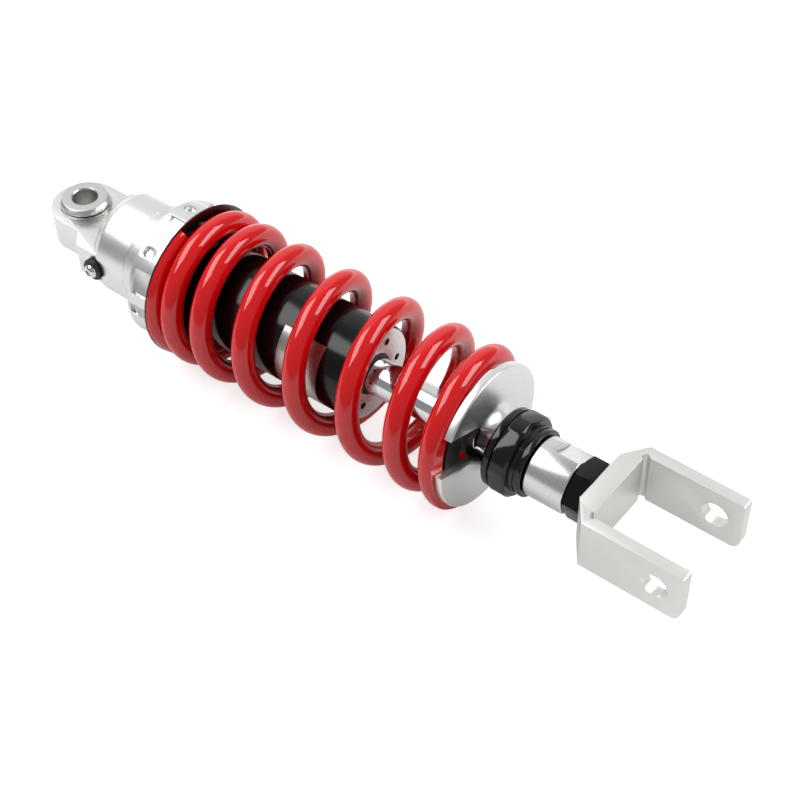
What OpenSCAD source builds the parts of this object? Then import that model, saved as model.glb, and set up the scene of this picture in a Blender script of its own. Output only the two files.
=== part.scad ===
// Motorcycle rear shock absorber: single-tube gas damper inside a coil spring, lying along X.
// The eye's bolt axis is Z and the clevis pin axis is Y. The origin is the centre of the eye.
// Sizes are millimetres. Angles round the shock's axis count from +Z towards -Y.

/* [Upper eye] */
// Diameter of the mounting bolt's hole in the eye
eye_bolt_d = 10; // [8:0.5:12]
// Width of the eye over both spacers
eye_width = 21.6; // [20:0.2:26]
// Diameter of the rounded end of the lug
lug_d = 27.6; // [26:0.2:32]
// Thickness of the lug
lug_t = 13.8; // [12:0.2:16]
// Wall of the spacers' spigots
spacer_wall = 2.6; // [2:0.1:3.2]
// Diameter of the spacers' flanges
spacer_flange_d = 20; // [19:0.2:23]
// Wall of the pressed-in bushes
bush_wall = 1.2; // [0.8:0.1:1.6]
// Thickness of the bushes' flanges
bush_flange_t = 0.8; // [0.6:0.1:1.2]

/* [Head] */
// Distance from the eye to the head's end face
head_start = 16; // [14:0.5:20]
// Distance from the eye to the head's face at the collar
head_end = 40; // [38:0.5:46]
// Wall of the head round the tube
head_wall = 2; // [1.8:0.1:3]
// Radius of the head's rounded shoulder
head_round = 7; // [5:0.5:8]
// Length of the lug's parallel part before it widens to the head
lug_straight = 9.5; // [8:0.5:11]
// Depth of the tube's seat in the head
tube_socket = 10; // [8:0.5:12]

/* [Gas valve] */
// Diameter of the gas screw's shank
gas_screw_d = 5; // [4:0.5:6]
// Diameter of the gas screw's domed head
gas_dome_d = 7.4; // [7:0.2:8]
// Diameter of the rubber seal under the gas screw
gas_seal_d = 9.6; // [9:0.2:11]
// Thickness of the rubber seal under the gas screw
gas_seal_t = 2.2; // [1.6:0.2:3]

/* [Damper tube] */
// Outside diameter of the damper tube
tube_d = 38; // [36:0.5:42]
// Wall of the damper tube
tube_wall = 2; // [1.8:0.1:2.4]
// Length of the damper tube
tube_len = 120; // [112:1:124]

/* [Seal head] */
// Length of the seal head
seal_head_len = 15; // [14:0.5:18]
// How far the seal head sits inside the tube's end
seal_head_inset = 0.8; // [0.4:0.1:1.5]
// Length of the rod's guide bush
rod_bush_len = 5.5; // [4:0.5:6]
// Wall of the rod's guide bush
rod_bush_wall = 1; // [0.8:0.1:1.5]
// Length of the oil seal
rod_seal_len = 3.8; // [3:0.2:4]
// Section of the oil seal and the wiper
rod_seal_wall = 3.4; // [2.8:0.2:3.8]
// Number of pin-spanner holes in the seal head
pin_holes = 4; // [2:1:6]
// Diameter of a pin-spanner hole
pin_hole_d = 3.2; // [2:0.2:4]
// Diameter of the circle of pin-spanner holes
pin_circle_d = 27; // [26:0.5:28.5]

/* [Floating piston] */
// Distance from the head's socket to the floating piston
gas_space = 24; // [16:1:28]
// Length of the floating piston
floating_len = 11; // [9:0.5:14]
// Thickness of the floating piston's crown
floating_crown = 4; // [3:0.5:5]

/* [Rod and piston] */
// Diameter of the damper rod
rod_d = 14; // [12:0.5:16]
// Diameter of the bore for the needle
rod_bore_d = 4.4; // [4:0.2:5]
// Diameter of the rod's end inside the piston
post_d = 10; // [9:0.5:11]
// Length of the main piston
piston_len = 10; // [8:0.5:12]
// Thickness of each shim stack
shim_stack_t = 1.8; // [1.2:0.3:2.4]
// Number of shims in a stack
shims = 4; // [3:1:5]
// Length of the piston nut
piston_nut_len = 5; // [4:0.5:6]
// Length of the top-out bumper
bumper_len = 5; // [4:0.5:7]
// Width of the piston band
band_w = 5; // [4:0.5:6]
// Thickness of the piston band
band_t = 0.8; // [0.6:0.1:1]
// Number of oil ports through the piston
ports = 6; // [4:1:8]
// Diameter of an oil port
port_d = 2.6; // [2:0.2:3]

/* [Preload collar] */
// Length of the preload collar
collar_len = 19.8; // [18:0.2:24]
// Length of the collar's plain neck
collar_neck_len = 4.6; // [3:0.2:6]
// Length of the collar's flared part
collar_flare_len = 4.4; // [3:0.2:5]
// How far the collar's rim lies inside the spring's outside
collar_inset = 2.85; // [1:0.05:4]
// Number of pin holes, and of notches, round the collar
collar_holes = 7; // [5:1:8]
// Diameter of a pin hole in the collar
collar_hole_d = 4.8; // [3.6:0.2:5.4]
// Distance from a pin hole's centre to the collar's spring side
collar_hole_from_end = 6.3; // [5:0.1:7]
// Width of a notch round the rim
notch_w = 6.4; // [5:0.2:7]
// Depth of a notch into the rim
notch_depth = 2.8; // [2:0.2:3.6]
// Length of a notch along the collar
notch_len = 6.2; // [4:0.2:8]
// Thickness of the black washer under the spring
washer_t = 1.6; // [1:0.1:2.5]
// How far the washer stands out past the spring
washer_lip = 0.2; // [0.1:0.05:1.5]

/* [Spring] */
// Diameter of the spring's wire
wire_d = 8.7; // [8:0.1:9.6]
// Space between the tube and the spring
spring_space = 3.15; // [2:0.05:4]
// Length of the fitted spring
spring_len = 133.8; // [126:0.2:140]
// Number of turns
spring_turns = 7.65; // [7.3:0.05:7.9]
// Turns wound close at the collar's end
closed_top = 0.95; // [0.6:0.05:1]
// Turns wound close at the seat's end
closed_bottom = 0.1; // [0.05:0.05:0.6]
// Gap between turns that are wound close
closed_gap = 0.75; // [0.5:0.05:1]
// Thickness of the ground wire tip
tip_t = 2.4; // [1.8:0.1:4.2]
// Angle of the upper wire tip round the axis
tip_angle = 14; // [0:1:90]

/* [Lower seat] */
// How far the seat's rim lies inside the spring's outside
seat_inset = 2.85; // [1:0.05:4]
// Length of the seat's cylindrical rim
seat_rim = 3.2; // [2.4:0.2:4]
// Length of the seat from the spring to the knob
seat_len = 9.4; // [8:0.2:12]
// Length of the spigot that centres the spring
spigot_len = 3.2; // [2:0.2:5]
// Wall of the seat's hub
hub_wall = 1.8; // [1.5:0.1:3]
// Room beside the rod in the seat's slot
slot_room = 0.6; // [0.4:0.1:1]
// Angle of the seat's slot round the axis
slot_angle = 70; // [30:5:120]
// Outside diameter of the bump stop
bump_d = 20.8; // [19:0.2:22]
// Length of the bump stop
bump_len = 12; // [9:0.5:14]
// Depth of the bump stop's pocket in the seat
bump_pocket = 3.6; // [2:0.2:4.4]

/* [Rebound knob] */
// Length of the knob
knob_len = 15; // [14:0.2:18]
// Wall of the knob round its stem
knob_wall = 6.7; // [6:0.1:8]
// Length of the knob's round flange
knob_flange_len = 3; // [2:0.2:4]
// Length of the knob's grooved ring
knob_ring_len = 4.6; // [4:0.2:5.6]
// How far the grooved ring is set in from the knob's outside
knob_ring_inset = 2.7; // [1.5:0.1:3.5]
// Number of grip flats
knob_flats = 8; // [6:1:10]
// Depth of a grip flat
knob_flat_depth = 0.8; // [0.4:0.1:1.2]
// Diameter of the cross pin
cross_pin_d = 2.4; // [2:0.2:3]
// Needle travel to either side of the middle setting
needle_travel = 1.5; // [1:0.1:1.8]

/* [Rod end] */
// Wall of the stem round the rod
stem_wall = 2; // [1.6:0.1:3]
// Step from the stem out to the rod end's body
shoulder = 2.5; // [2:0.1:4]
// Length of the rod end's body
rod_end_len = 16; // [14:0.5:20]
// Length of the spanner flats
spanner_len = 10; // [8:0.5:12]
// Depth of the spanner flats
spanner_depth = 1.9; // [1:0.1:2.4]
// Diameter of the stud that carries the clevis
stud_d = 16; // [14:0.5:18]
// Thickness of the lock nut
nut_t = 7.4; // [5:0.2:8]
// Wall of the lock nut at its flats
nut_wall = 2.3; // [2:0.1:4]
// Angle of the lock nut's first corner from the top
nut_turn = 21; // [0:1:60]

/* [Clevis] */
// Clear width between the clevis arms
clevis_gap = 33.4; // [30:0.2:36]
// Thickness of a clevis arm
arm_t = 4.6; // [4:0.2:6]
// Height of the clevis
clevis_h = 21.5; // [20:0.5:26]
// Thickness of the clevis web
web_t = 7.8; // [6:0.2:10]
// Metal left between the stud's hole and the clevis slot
web_skin = 1.6; // [1:0.2:3]
// Distance from the web's inner face to the pin hole
arm_reach = 28.25; // [24:0.25:34]
// Distance from the pin hole to the arm's tip
arm_tip = 10.4; // [9:0.2:13]
// Diameter of the pin hole
clevis_pin_d = 10; // [8:0.5:12]
// Length of the back corner's chamfer along the shock
corner_x = 6; // [3:0.5:7]
// Length of the back corner's chamfer across the shock
corner_y = 9.5; // [5:0.5:10]
// Radius of the arms' rounded tips, seen from the side
tip_round = 3; // [2:0.5:6]

/* [Hidden] */
$fn = 96;

// Clearances and small edge breaks
run_gap = 0.05;
face_gap = 0.3;
seal_gap = 0.04;
edge = 0.5;
over = 1;
arc_steps = 8;

// Radii that follow from the driving sizes
tube_r = tube_d / 2;
bore_r = tube_r - tube_wall;
rod_r = rod_d / 2;
head_r = tube_r + head_wall;
wire_r = wire_d / 2;
spring_in_r = tube_r + spring_space;
spring_r = spring_in_r + wire_d;
coil_r = spring_r - wire_r;
stem_r = rod_r + stem_wall;
body_r = stem_r + shoulder;
stud_r = stud_d / 2;
needle_r = rod_bore_d / 2 - face_gap;
cross_r = cross_pin_d / 2;

// Places along the shock, each built on the one before
socket_x = head_end - tube_socket;
tube_end = socket_x + tube_len;
collar_x = head_end + face_gap;
washer_x = collar_x + collar_len;
spring_x0 = washer_x + washer_t;
seat_x = spring_x0 + spring_len;
stem_x = seat_x + seat_len + run_gap;
knob_x = stem_x + face_gap;
knob_end = knob_x + knob_len;
body_x = knob_end + face_gap;
nut_x = body_x + rod_end_len;
web_x = nut_x + nut_t;
throat_x = web_x + web_t;
pin_x = throat_x + arm_reach;
clevis_end = pin_x + arm_tip;
echo(str("eye to clevis pin: ", pin_x));

// Inner stations
seal_face = tube_end - seal_head_inset;
seal_x = seal_face - seal_head_len;
bumper_x = seal_x - face_gap - bumper_len;
rebound_shims_x = bumper_x - shim_stack_t;
piston_x = rebound_shims_x - piston_len;
compression_shims_x = piston_x - shim_stack_t;
piston_nut_x = compression_shims_x - piston_nut_len;
rod_x = piston_nut_x - over;
floating_x = socket_x + gas_space;
bump_x = seat_x + bump_pocket - bump_len;
pocket_r = rod_r + rod_seal_wall;

// Eye fits
spigot_r = eye_bolt_d / 2 + spacer_wall;
bush_in_r = spigot_r + run_gap;
bush_r = bush_in_r + bush_wall;
flange_z = lug_t / 2 + bush_flange_t + face_gap;

// Widened shoulders of the lug, flush inside the head's round
shoulder_y = sqrt(head_r * head_r - lug_t * lug_t / 4) - run_gap;
shoulder_x = lug_straight + 0.8 * (shoulder_y - lug_d / 2);
gas_x = head_start + head_round + over;
gas_port_y = bore_r / 2;

// Needle drive
needle_tail = knob_end - knob_ring_len / 2;
cross_x = needle_tail - 2 * cross_r;
cross_room = cross_r + needle_travel + face_gap;
cross_reach = stem_r + knob_wall / 6;
rod_socket_end = cross_x - cross_room - over;

// Solid of revolution about X from points [along, radius]
module turned(points) {
    rotate([0, 90, 0]) rotate_extrude() polygon([for (p = points) [p[1], p[0]]]);
}

// Plain ring about X
module ring(x0, x1, r_in, r_out) {
    turned([[x0, r_in], [x1, r_in], [x1, r_out], [x0, r_out]]);
}

// Ring about X with its four edges broken
module soft_ring(x0, x1, r_in, r_out, b) {
    turned([[x0, r_in + b], [x0 + b, r_in], [x1 - b, r_in], [x1, r_in + b],
            [x1, r_out - b], [x1 - b, r_out], [x0 + b, r_out], [x0, r_out - b]]);
}

// Straight hole or pin along X
module along_x(x0, x1, r) {
    translate([x0, 0, 0]) rotate([0, 90, 0]) cylinder(r = r, h = x1 - x0);
}

// Children repeated round the shock's axis
module round_axis(count, first = 0) {
    for (i = [0 : count - 1]) rotate([first + i * 360 / count, 0, 0]) children();
}

// Quarter arc about [cx, cy] from angle a to angle b
function arc(cx, cy, r, a, b) =
    [for (i = [0 : arc_steps]) let (t = a + (b - a) * i / arc_steps) [cx + r * cos(t), cy + r * sin(t)]];

// Hollow quarter curve from [x + a, r] round to [x, r - b]
function cove(x, r, a, b) =
    [for (i = [0 : arc_steps]) let (t = 90 * i / arc_steps) [x + a * cos(t), r - b * sin(t)]];

// Machined head with the eye's lug, the tube's socket and the gas port
module top_mount() {
    nose = concat([[head_start, 0]],
                  arc(head_start + head_round, head_r - head_round, head_round, 180, 90),
                  [[head_end - edge, head_r], [head_end, head_r - edge], [head_end, 0]]);
    color("#dcdcda") difference() {
        union() {
            turned(nose);
            translate([0, 0, -lug_t / 2]) linear_extrude(lug_t) lug_plan();
        }
        translate([0, 0, -lug_t]) cylinder(r = bush_r, h = 2 * lug_t);
        along_x(socket_x, head_end + over, tube_r);
        ring(socket_x + 3, socket_x + 5, tube_r - over, tube_r + head_wall * 0.6);
        translate([gas_x, -head_r - over, 0]) rotate([-90, 0, 0])
            cylinder(d = gas_screw_d, h = head_r + over - gas_port_y);
        translate([gas_x, -gas_port_y - gas_screw_d / 4, 0]) rotate([0, 90, 0])
            cylinder(d = gas_screw_d / 2, h = socket_x - gas_x + over);
        translate([gas_x, -head_r - over, 0]) rotate([-90, 0, 0])
            cylinder(d = gas_seal_d + over, h = head_r + over - shoulder_y);
    }
}

// Outline of the lug from above, widening to the head's shoulders
module lug_plan() {
    inner = head_start + head_round;
    circle(d = lug_d);
    polygon([[0, -lug_d / 2], [lug_straight, -lug_d / 2], [shoulder_x, -shoulder_y], [inner, -shoulder_y],
             [inner, shoulder_y], [shoulder_x, shoulder_y], [lug_straight, lug_d / 2], [0, lug_d / 2]]);
}

// Two flanged bushes pressed into the lug from either side
module eye_bushes() {
    flange_r = spacer_flange_d / 2 + 0.2;
    color("#c9c9c6") for (side = [0, 1]) mirror([0, 0, side]) rotate_extrude()
        polygon([[bush_in_r, face_gap], [bush_r, face_gap], [bush_r, lug_t / 2], [flange_r, lug_t / 2],
                 [flange_r, lug_t / 2 + bush_flange_t], [bush_in_r, lug_t / 2 + bush_flange_t]]);
}

// Two top-hat spacers that the mounting bolt clamps
module eye_spacers() {
    bolt_r = eye_bolt_d / 2;
    top = eye_width / 2;
    flange_r = spacer_flange_d / 2;
    color("#dededc") for (side = [0, 1]) mirror([0, 0, side]) rotate_extrude()
        polygon([[bolt_r, face_gap / 2], [spigot_r, face_gap / 2], [spigot_r, flange_z],
                 [flange_r - edge, flange_z], [flange_r, flange_z + edge], [flange_r, top - 2 * edge],
                 [flange_r - 2 * edge, top], [bolt_r + edge, top], [bolt_r, top - edge]]);
}

// Domed screw that closes the gas port
module gas_screw() {
    dome_t = gas_dome_d / 4;
    dome = [for (i = [0 : arc_steps]) let (a = 90 * i / arc_steps)
            [gas_dome_d / 2 * cos(a), gas_seal_t + dome_t * sin(a)]];
    color("#e2e2e4") translate([gas_x, -shoulder_y, 0]) rotate([90, 0, 0]) rotate_extrude()
        polygon(concat([[0, -gas_screw_d], [gas_screw_d / 2, -gas_screw_d], [gas_screw_d / 2, gas_seal_t]],
                       dome));
}

// Rubber seal under the gas screw
module gas_screw_seal() {
    soft = gas_seal_t / 4;
    color("#141416") translate([gas_x, -shoulder_y, 0]) rotate([90, 0, 0]) rotate_extrude()
        polygon([[gas_screw_d / 2, 0], [gas_seal_d / 2 - soft, 0], [gas_seal_d / 2, soft],
                 [gas_seal_d / 2, gas_seal_t - soft], [gas_seal_d / 2 - soft, gas_seal_t],
                 [gas_screw_d / 2, gas_seal_t]]);
}

// O-ring between the tube and the head
module head_oring() {
    color("#1a1a1a") ring(socket_x + 3, socket_x + 5, tube_r, tube_r + head_wall * 0.6);
}

// Damper tube, screwed into the head
module damper_tube() {
    color("#0d0d10") turned([[socket_x, bore_r], [tube_end, bore_r], [tube_end, tube_r - edge],
                             [tube_end - edge, tube_r], [socket_x, tube_r]]);
}

// Seal head that closes the tube and guides the rod
module seal_head() {
    bush_x = seal_x + over;
    color("#d8d8da") difference() {
        turned([[seal_x, 0], [seal_face, 0], [seal_face, bore_r - edge], [seal_face - edge, bore_r],
                [seal_x, bore_r]]);
        along_x(seal_x - over, seal_face + over, rod_r + face_gap);
        along_x(bush_x, bush_x + rod_bush_len, rod_r + run_gap + rod_bush_wall);
        along_x(bush_x + rod_bush_len + over, seal_face + over, pocket_r);
        ring(seal_x + 4, seal_x + 6, bore_r - 1.4, bore_r + over);
        round_axis(pin_holes, -30) translate([0, 0, pin_circle_d / 2])
            along_x(seal_face - 4, seal_face + over, pin_hole_d / 2);
    }
}

// O-ring round the seal head
module seal_head_oring() {
    color("#1a1a1a") ring(seal_x + 4, seal_x + 6, bore_r - 1.4, bore_r);
}

// Bronze-backed guide bush for the rod
module rod_bush() {
    start = seal_x + over;
    guide_r = rod_r + run_gap;
    color("#b08d57") ring(start, start + rod_bush_len, guide_r, guide_r + rod_bush_wall);
}

// Oil seal round the rod
module rod_seal() {
    start = seal_x + 2 * over + rod_bush_len;
    color("#1f1f1f") ring(start, start + rod_seal_len, rod_r + seal_gap, pocket_r);
}

// Wiper that keeps dirt off the oil seal, with its lip standing past the seal head
module wiper_seal() {
    start = seal_x + 2 * over + rod_bush_len + rod_seal_len;
    lip = seal_face + 2 * over;
    color("#101010") turned([[start, rod_r + seal_gap], [lip, rod_r + seal_gap], [lip, rod_r + over],
                             [seal_face + edge, pocket_r - over], [seal_face, pocket_r], [start, pocket_r]]);
}

// Floating piston between the gas and the oil, a cup open to the gas
module floating_piston() {
    back = floating_x + floating_len;
    wall = 3;
    color("#c8b070") difference() {
        turned([[floating_x, 0], [back, 0], [back, bore_r - run_gap - edge], [back - edge, bore_r - run_gap],
                [floating_x, bore_r - run_gap]]);
        along_x(floating_x - over, back - floating_crown, bore_r - wall - 1.6);
        ring(back - floating_crown - 2, back - floating_crown, bore_r - 1.6, bore_r + over);
    }
}

// O-ring round the floating piston
module floating_piston_seal() {
    groove_x = floating_x + floating_len - floating_crown - 2;
    color("#1a1a1a") ring(groove_x, groove_x + 2, bore_r - 1.6, bore_r - run_gap / 2);
}

// Preload collar: plain neck, flare, and a rim with pin holes and spanner notches
module preload_collar() {
    rim_r = spring_r - collar_inset;
    neck_x = collar_x + collar_neck_len;
    rim_x = neck_x + collar_flare_len;
    step = 360 / collar_holes;
    floor_r = rim_r - notch_depth;
    color("#dcdcda") difference() {
        turned(concat([[collar_x, tube_r + run_gap], [washer_x, tube_r + run_gap],
                       [washer_x, rim_r - edge], [washer_x - edge, rim_r], [rim_x + edge, rim_r]],
                      cove(neck_x, rim_r - edge, collar_flare_len, rim_r - edge - head_r),
                      [[collar_x + edge, head_r], [collar_x, head_r - edge]]));
        round_axis(collar_holes, 39) translate([washer_x - collar_hole_from_end, 0, floor_r])
            cylinder(d = collar_hole_d, h = notch_depth + over);
        round_axis(collar_holes, 39 + 0.46 * step)
            translate([washer_x - notch_len, -notch_w / 2, floor_r])
            cube([notch_len + over, notch_w, notch_depth + over]);
    }
}

// Black washer between the collar and the spring
module spring_washer() {
    color("#0c0c0c") soft_ring(washer_x, spring_x0, tube_r + face_gap, spring_r + washer_lip, washer_t / 4);
}

// Spring: turns lie close at both ends and open in between
spring_end_gap = 0.1;
rings_per_turn = 32;
wire_sides = 12;
coil_rings = ceil(spring_turns * rings_per_turn);
closed_pitch = wire_d + closed_gap;
active_turns = spring_turns - closed_top - closed_bottom;
ground = wire_r - tip_t;
spring_rise = (spring_len + 2 * ground - closed_pitch * spring_turns) / 2;
function turn_at(i) = spring_turns * i / coil_rings;
function opened(u) = min(1, max(0, (u - closed_top) / active_turns));
function wire_x(u) = spring_x0 - ground + closed_pitch * u + spring_rise * (1 - cos(180 * opened(u)));
function wire_slope(u) = atan((wire_x(u + 0.01) - wire_x(u - 0.01)) / (0.02 * 2 * PI * coil_r));
function wire_centre(u) = let (t = tip_angle + 360 * u) [wire_x(u), -coil_r * sin(t), coil_r * cos(t)];
function to_ends(x) = min(seat_x - spring_end_gap, max(spring_x0 + spring_end_gap, x));

// Points of one section of the wire, square to the helix, ground flat at the spring's ends
function wire_ring(u) =
    let (t = tip_angle + 360 * u, h = wire_slope(u))
    [for (k = [0 : wire_sides - 1])
        let (a = 360 * (k + 0.5) / wire_sides, r = coil_r + wire_r * cos(a), w = wire_r * sin(a))
        let (s = w * sin(h))
        [to_ends(wire_x(u) + w * cos(h)), -r * sin(t) + s * cos(t), r * cos(t) + s * sin(t)]];

// Least clear distance from one turn of the wire to the next
coil_gap = min([for (i = [0 : coil_rings - rings_per_turn + 3])
    min([for (j = [i + rings_per_turn - 3 : min(coil_rings, i + rings_per_turn + 3)])
        norm(wire_centre(turn_at(i)) - wire_centre(turn_at(j))) - wire_d])]);
echo(str("least gap between the spring's turns: ", coil_gap));

// One unbroken wire, a tube of triangles along the helix
module spring() {
    m = wire_sides;
    points = [for (i = [0 : coil_rings]) each wire_ring(turn_at(i))];
    sides = [for (i = [0 : coil_rings - 1], k = [0 : m - 1])
        let (a = i * m + k, b = i * m + (k + 1) % m) each [[a, b, b + m], [a, b + m, a + m]]];
    last = coil_rings * m;
    caps = [for (k = [1 : m - 2]) each [[0, k + 1, k], [last, last + k, last + k + 1]]];
    color("#c8141a") polyhedron(points, concat(sides, caps));
}

// Lower seat: rim, hollow dish and hub, slotted so that it slips over the rod
module lower_spring_seat() {
    rim_r = spring_r - seat_inset;
    slot_half = rod_r + slot_room;
    hub_in = slot_half + face_gap;
    hub_r = hub_in + hub_wall;
    seat_end = seat_x + seat_len;
    rim_end = seat_x + seat_rim;
    spigot_r = spring_in_r - 1.5 * face_gap;
    spigot_x = seat_x - spigot_len;
    dish = [for (i = [0 : arc_steps]) let (a = 90 * i / arc_steps)
            [seat_end - (seat_end - rim_end) * cos(a), rim_r - (rim_r - hub_r) * sin(a)]];
    color("#dcdcda") difference() {
        turned(concat([[spigot_x, hub_in], [spigot_x, spigot_r - edge], [spigot_x + edge, spigot_r],
                       [seat_x, spigot_r], [seat_x, rim_r - edge], [seat_x + edge, rim_r]],
                      dish, [[seat_end, hub_in]]));
        along_x(spigot_x - over, seat_x + bump_pocket, bump_d / 2 + face_gap);
        rotate([slot_angle, 0, 0]) translate([spigot_x - over, -slot_half, 0])
            cube([spigot_len + seat_len + 2 * over, 2 * slot_half, rim_r + over]);
    }
}

// Rubber bump stop on the rod, resting in the seat's pocket
module bump_stop() {
    back = seat_x + bump_pocket;
    r = bump_d / 2;
    grip = rod_r + run_gap;
    waist = bump_x + bump_len / 2;
    color("#161616") turned([[bump_x, grip], [back, grip], [back, r], [waist + 1.5, r], [waist, r - 0.9],
                             [waist - 1.5, r - 0.2], [bump_x + 2, r - 0.4], [bump_x, r - 1.8]]);
}

// Hard chromed rod with a smaller end for the piston and a bore for the needle
module piston_rod() {
    color("#e4e4e8") turned([[rod_x, rod_bore_d / 2], [rod_socket_end, rod_bore_d / 2],
                             [rod_socket_end, rod_r], [bumper_x, rod_r], [bumper_x, post_d / 2],
                             [rod_x, post_d / 2]]);
}

// Main piston with oil ports and a groove for its band
module piston() {
    band_x = piston_x + (piston_len - band_w) / 2;
    piston_r = bore_r - 2 * run_gap;
    color("#a8a8a4") difference() {
        soft_ring(piston_x, rebound_shims_x, post_d / 2, piston_r, edge / 2);
        ring(band_x, band_x + band_w, bore_r - run_gap / 2 - band_t, bore_r + over);
        round_axis(ports, 15) translate([0, 0, (post_d / 2 + bore_r) / 2 - 0.4])
            along_x(piston_x - over, rebound_shims_x + over, port_d / 2);
    }
}

// Low-friction band round the piston
module piston_band() {
    band_x = piston_x + (piston_len - band_w) / 2;
    color("#3a3a30") ring(band_x, band_x + band_w, bore_r - run_gap / 2 - band_t, bore_r - run_gap / 2);
}

// Stack of thin shims, each smaller than the one before, as one stepped stack
module shim_stack(x, side) {
    t = shim_stack_t / shims;
    big = (post_d / 2 + bore_r) / 2 + port_d / 2 + 0.6;
    color("#b8b8bc") for (i = [0 : shims - 1])
        ring(side > 0 ? x + i * t : x + shim_stack_t - (i + 1) * t,
             side > 0 ? x + (i + 1) * t : x + shim_stack_t - i * t, post_d / 2, big - 0.7 * i);
}

// Shims that meter the compression stroke
module compression_shims() {
    shim_stack(compression_shims_x, -1);
}

// Shims that meter the rebound stroke
module rebound_shims() {
    shim_stack(rebound_shims_x, 1);
}

// Nut that holds the piston and its shims on the rod
module piston_nut() {
    color("#9a9a9c") difference() {
        along_hex(piston_nut_x, compression_shims_x, post_d + 5);
        along_x(piston_nut_x - over, compression_shims_x + over, post_d / 2);
    }
}

// Hexagonal bar along X, measured across its flats
module along_hex(x0, x1, across) {
    translate([x0, 0, 0]) rotate([0, 90, 0]) cylinder(d = across / cos(30), h = x1 - x0, $fn = 6);
}

// Rubber bumper that cushions full extension
module top_out_bumper() {
    color("#202020") soft_ring(bumper_x, bumper_x + bumper_len, rod_r, rod_r + 4, edge);
}

// Needle in the rod that meters the rebound bleed
module rebound_needle() {
    tip = rod_x + 4;
    color("#c0c0c4") difference() {
        turned([[tip, 0], [tip + 4, needle_r], [needle_tail, needle_r], [needle_tail, 0]]);
        translate([cross_x, 0, -needle_r - over]) cylinder(r = cross_r * 0.6, h = 2 * (needle_r + over));
    }
}

// Pin that carries the knob's screw motion into the needle, stepped where it passes through
module cross_pin() {
    color("#8c8c90") translate([cross_x, 0, 0]) {
        for (side = [0, 1]) mirror([0, 0, side]) translate([0, 0, needle_r + face_gap])
            cylinder(r = cross_r, h = cross_reach - needle_r - face_gap);
        cylinder(r = cross_r * 0.6, h = 2 * (needle_r + face_gap), center = true);
    }
}

// Rebound knob: round flange, grip flats and a grooved ring
module rebound_knob() {
    r = stem_r + knob_wall;
    grip_x = knob_x + knob_flange_len;
    ring_x = knob_end - knob_ring_len;
    ring_r = r - knob_ring_inset;
    groove_x = ring_x + knob_ring_len / 2;
    color("#151517") difference() {
        turned([[knob_x, stem_r + run_gap], [knob_x, r - 2 * edge], [knob_x + edge, r - edge],
                [grip_x, r - edge], [grip_x, r - 3 * edge], [grip_x + edge, r - 3 * edge],
                [grip_x + edge, r - edge], [grip_x + 2 * edge, r], [ring_x - 2 * edge, r],
                [ring_x, r - 2 * edge], [ring_x, ring_r],
                [groove_x - edge, ring_r], [groove_x - edge, ring_r - edge], [groove_x + edge, ring_r - edge],
                [groove_x + edge, ring_r], [knob_end - edge, ring_r], [knob_end, ring_r - edge],
                [knob_end, stem_r + run_gap]]);
        along_x(cross_x - cross_room, knob_end + over, cross_reach + face_gap);
        round_axis(knob_flats) translate([grip_x + edge / 2, -r, r - knob_flat_depth])
            cube([ring_x - grip_x - edge / 2, 2 * r, r]);
    }
}

// Rod end: socket for the rod, body with spanner flats, stud for the clevis
module rod_end() {
    flat_z = body_r - spanner_depth;
    stud_end = throat_x - web_skin - face_gap;
    color("#dcdcda") difference() {
        turned([[stem_x, 0], [stem_x, stem_r], [body_x, stem_r], [body_x, body_r - 2 * edge],
                [body_x + 2 * edge, body_r], [nut_x - edge, body_r], [nut_x, body_r - edge], [nut_x, stud_r],
                [stud_end - 2 * edge, stud_r], [stud_end, stud_r - 2 * edge], [stud_end, 0]]);
        along_x(stem_x - over, rod_socket_end, rod_r);
        along_x(rod_socket_end - over, needle_tail + needle_travel + over, needle_r + 3 * face_gap);
        translate([cross_x - cross_room, -cross_r - face_gap, -stem_r - over])
            cube([2 * cross_room, 2 * (cross_r + face_gap), 2 * (stem_r + over)]);
        for (side = [0, 1]) mirror([0, 0, side]) translate([nut_x - spanner_len, -body_r, flat_z])
            cube([spanner_len + over, 2 * body_r, body_r]);
    }
}

// Thin lock nut that fixes the clevis on the stud
module lock_nut() {
    across = stud_d + 2 * nut_wall;
    corner = across / 2 / cos(30);
    color("#1a1a1c") difference() {
        intersection() {
            rotate([nut_turn, 0, 0]) along_hex(nut_x, web_x, across);
            turned([[nut_x, 0], [nut_x, across / 2], [nut_x + edge, corner], [web_x - edge, corner],
                    [web_x, across / 2], [web_x, 0]]);
        }
        along_x(nut_x - over, web_x + over, stud_r);
    }
}

// Clevis: web on the stud, two arms with the pin holes
module clevis() {
    inner = clevis_gap / 2;
    outer = inner + arm_t;
    relief = 1.4;
    chamfer = 0.4;
    pin_r = clevis_pin_d / 2;
    color("#d6d6d4") difference() {
        intersection() {
            translate([0, 0, -clevis_h]) linear_extrude(2 * clevis_h) polygon([
                [web_x, -outer + corner_y], [web_x + corner_x, -outer], [clevis_end, -outer],
                [clevis_end, -inner], [throat_x, -inner], [throat_x, inner], [clevis_end, inner],
                [clevis_end, outer], [web_x + corner_x, outer], [web_x, outer - corner_y]]);
            rotate([90, 0, 0]) linear_extrude(4 * outer, center = true) clevis_side();
        }
        for (side = [-1, 1]) translate([throat_x + 0.4, side * (inner - 0.4), -clevis_h])
            cylinder(r = relief, h = 2 * clevis_h);
        along_x(web_x - over, throat_x - web_skin, stud_r);
        translate([pin_x, 0, 0]) rotate([90, 0, 0]) {
            cylinder(r = pin_r, h = 4 * outer, center = true);
            for (side = [0, 1]) mirror([0, 0, side]) translate([0, 0, outer - chamfer])
                cylinder(r1 = pin_r, r2 = pin_r + 2 * chamfer, h = 2 * chamfer);
        }
    }
}

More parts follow.
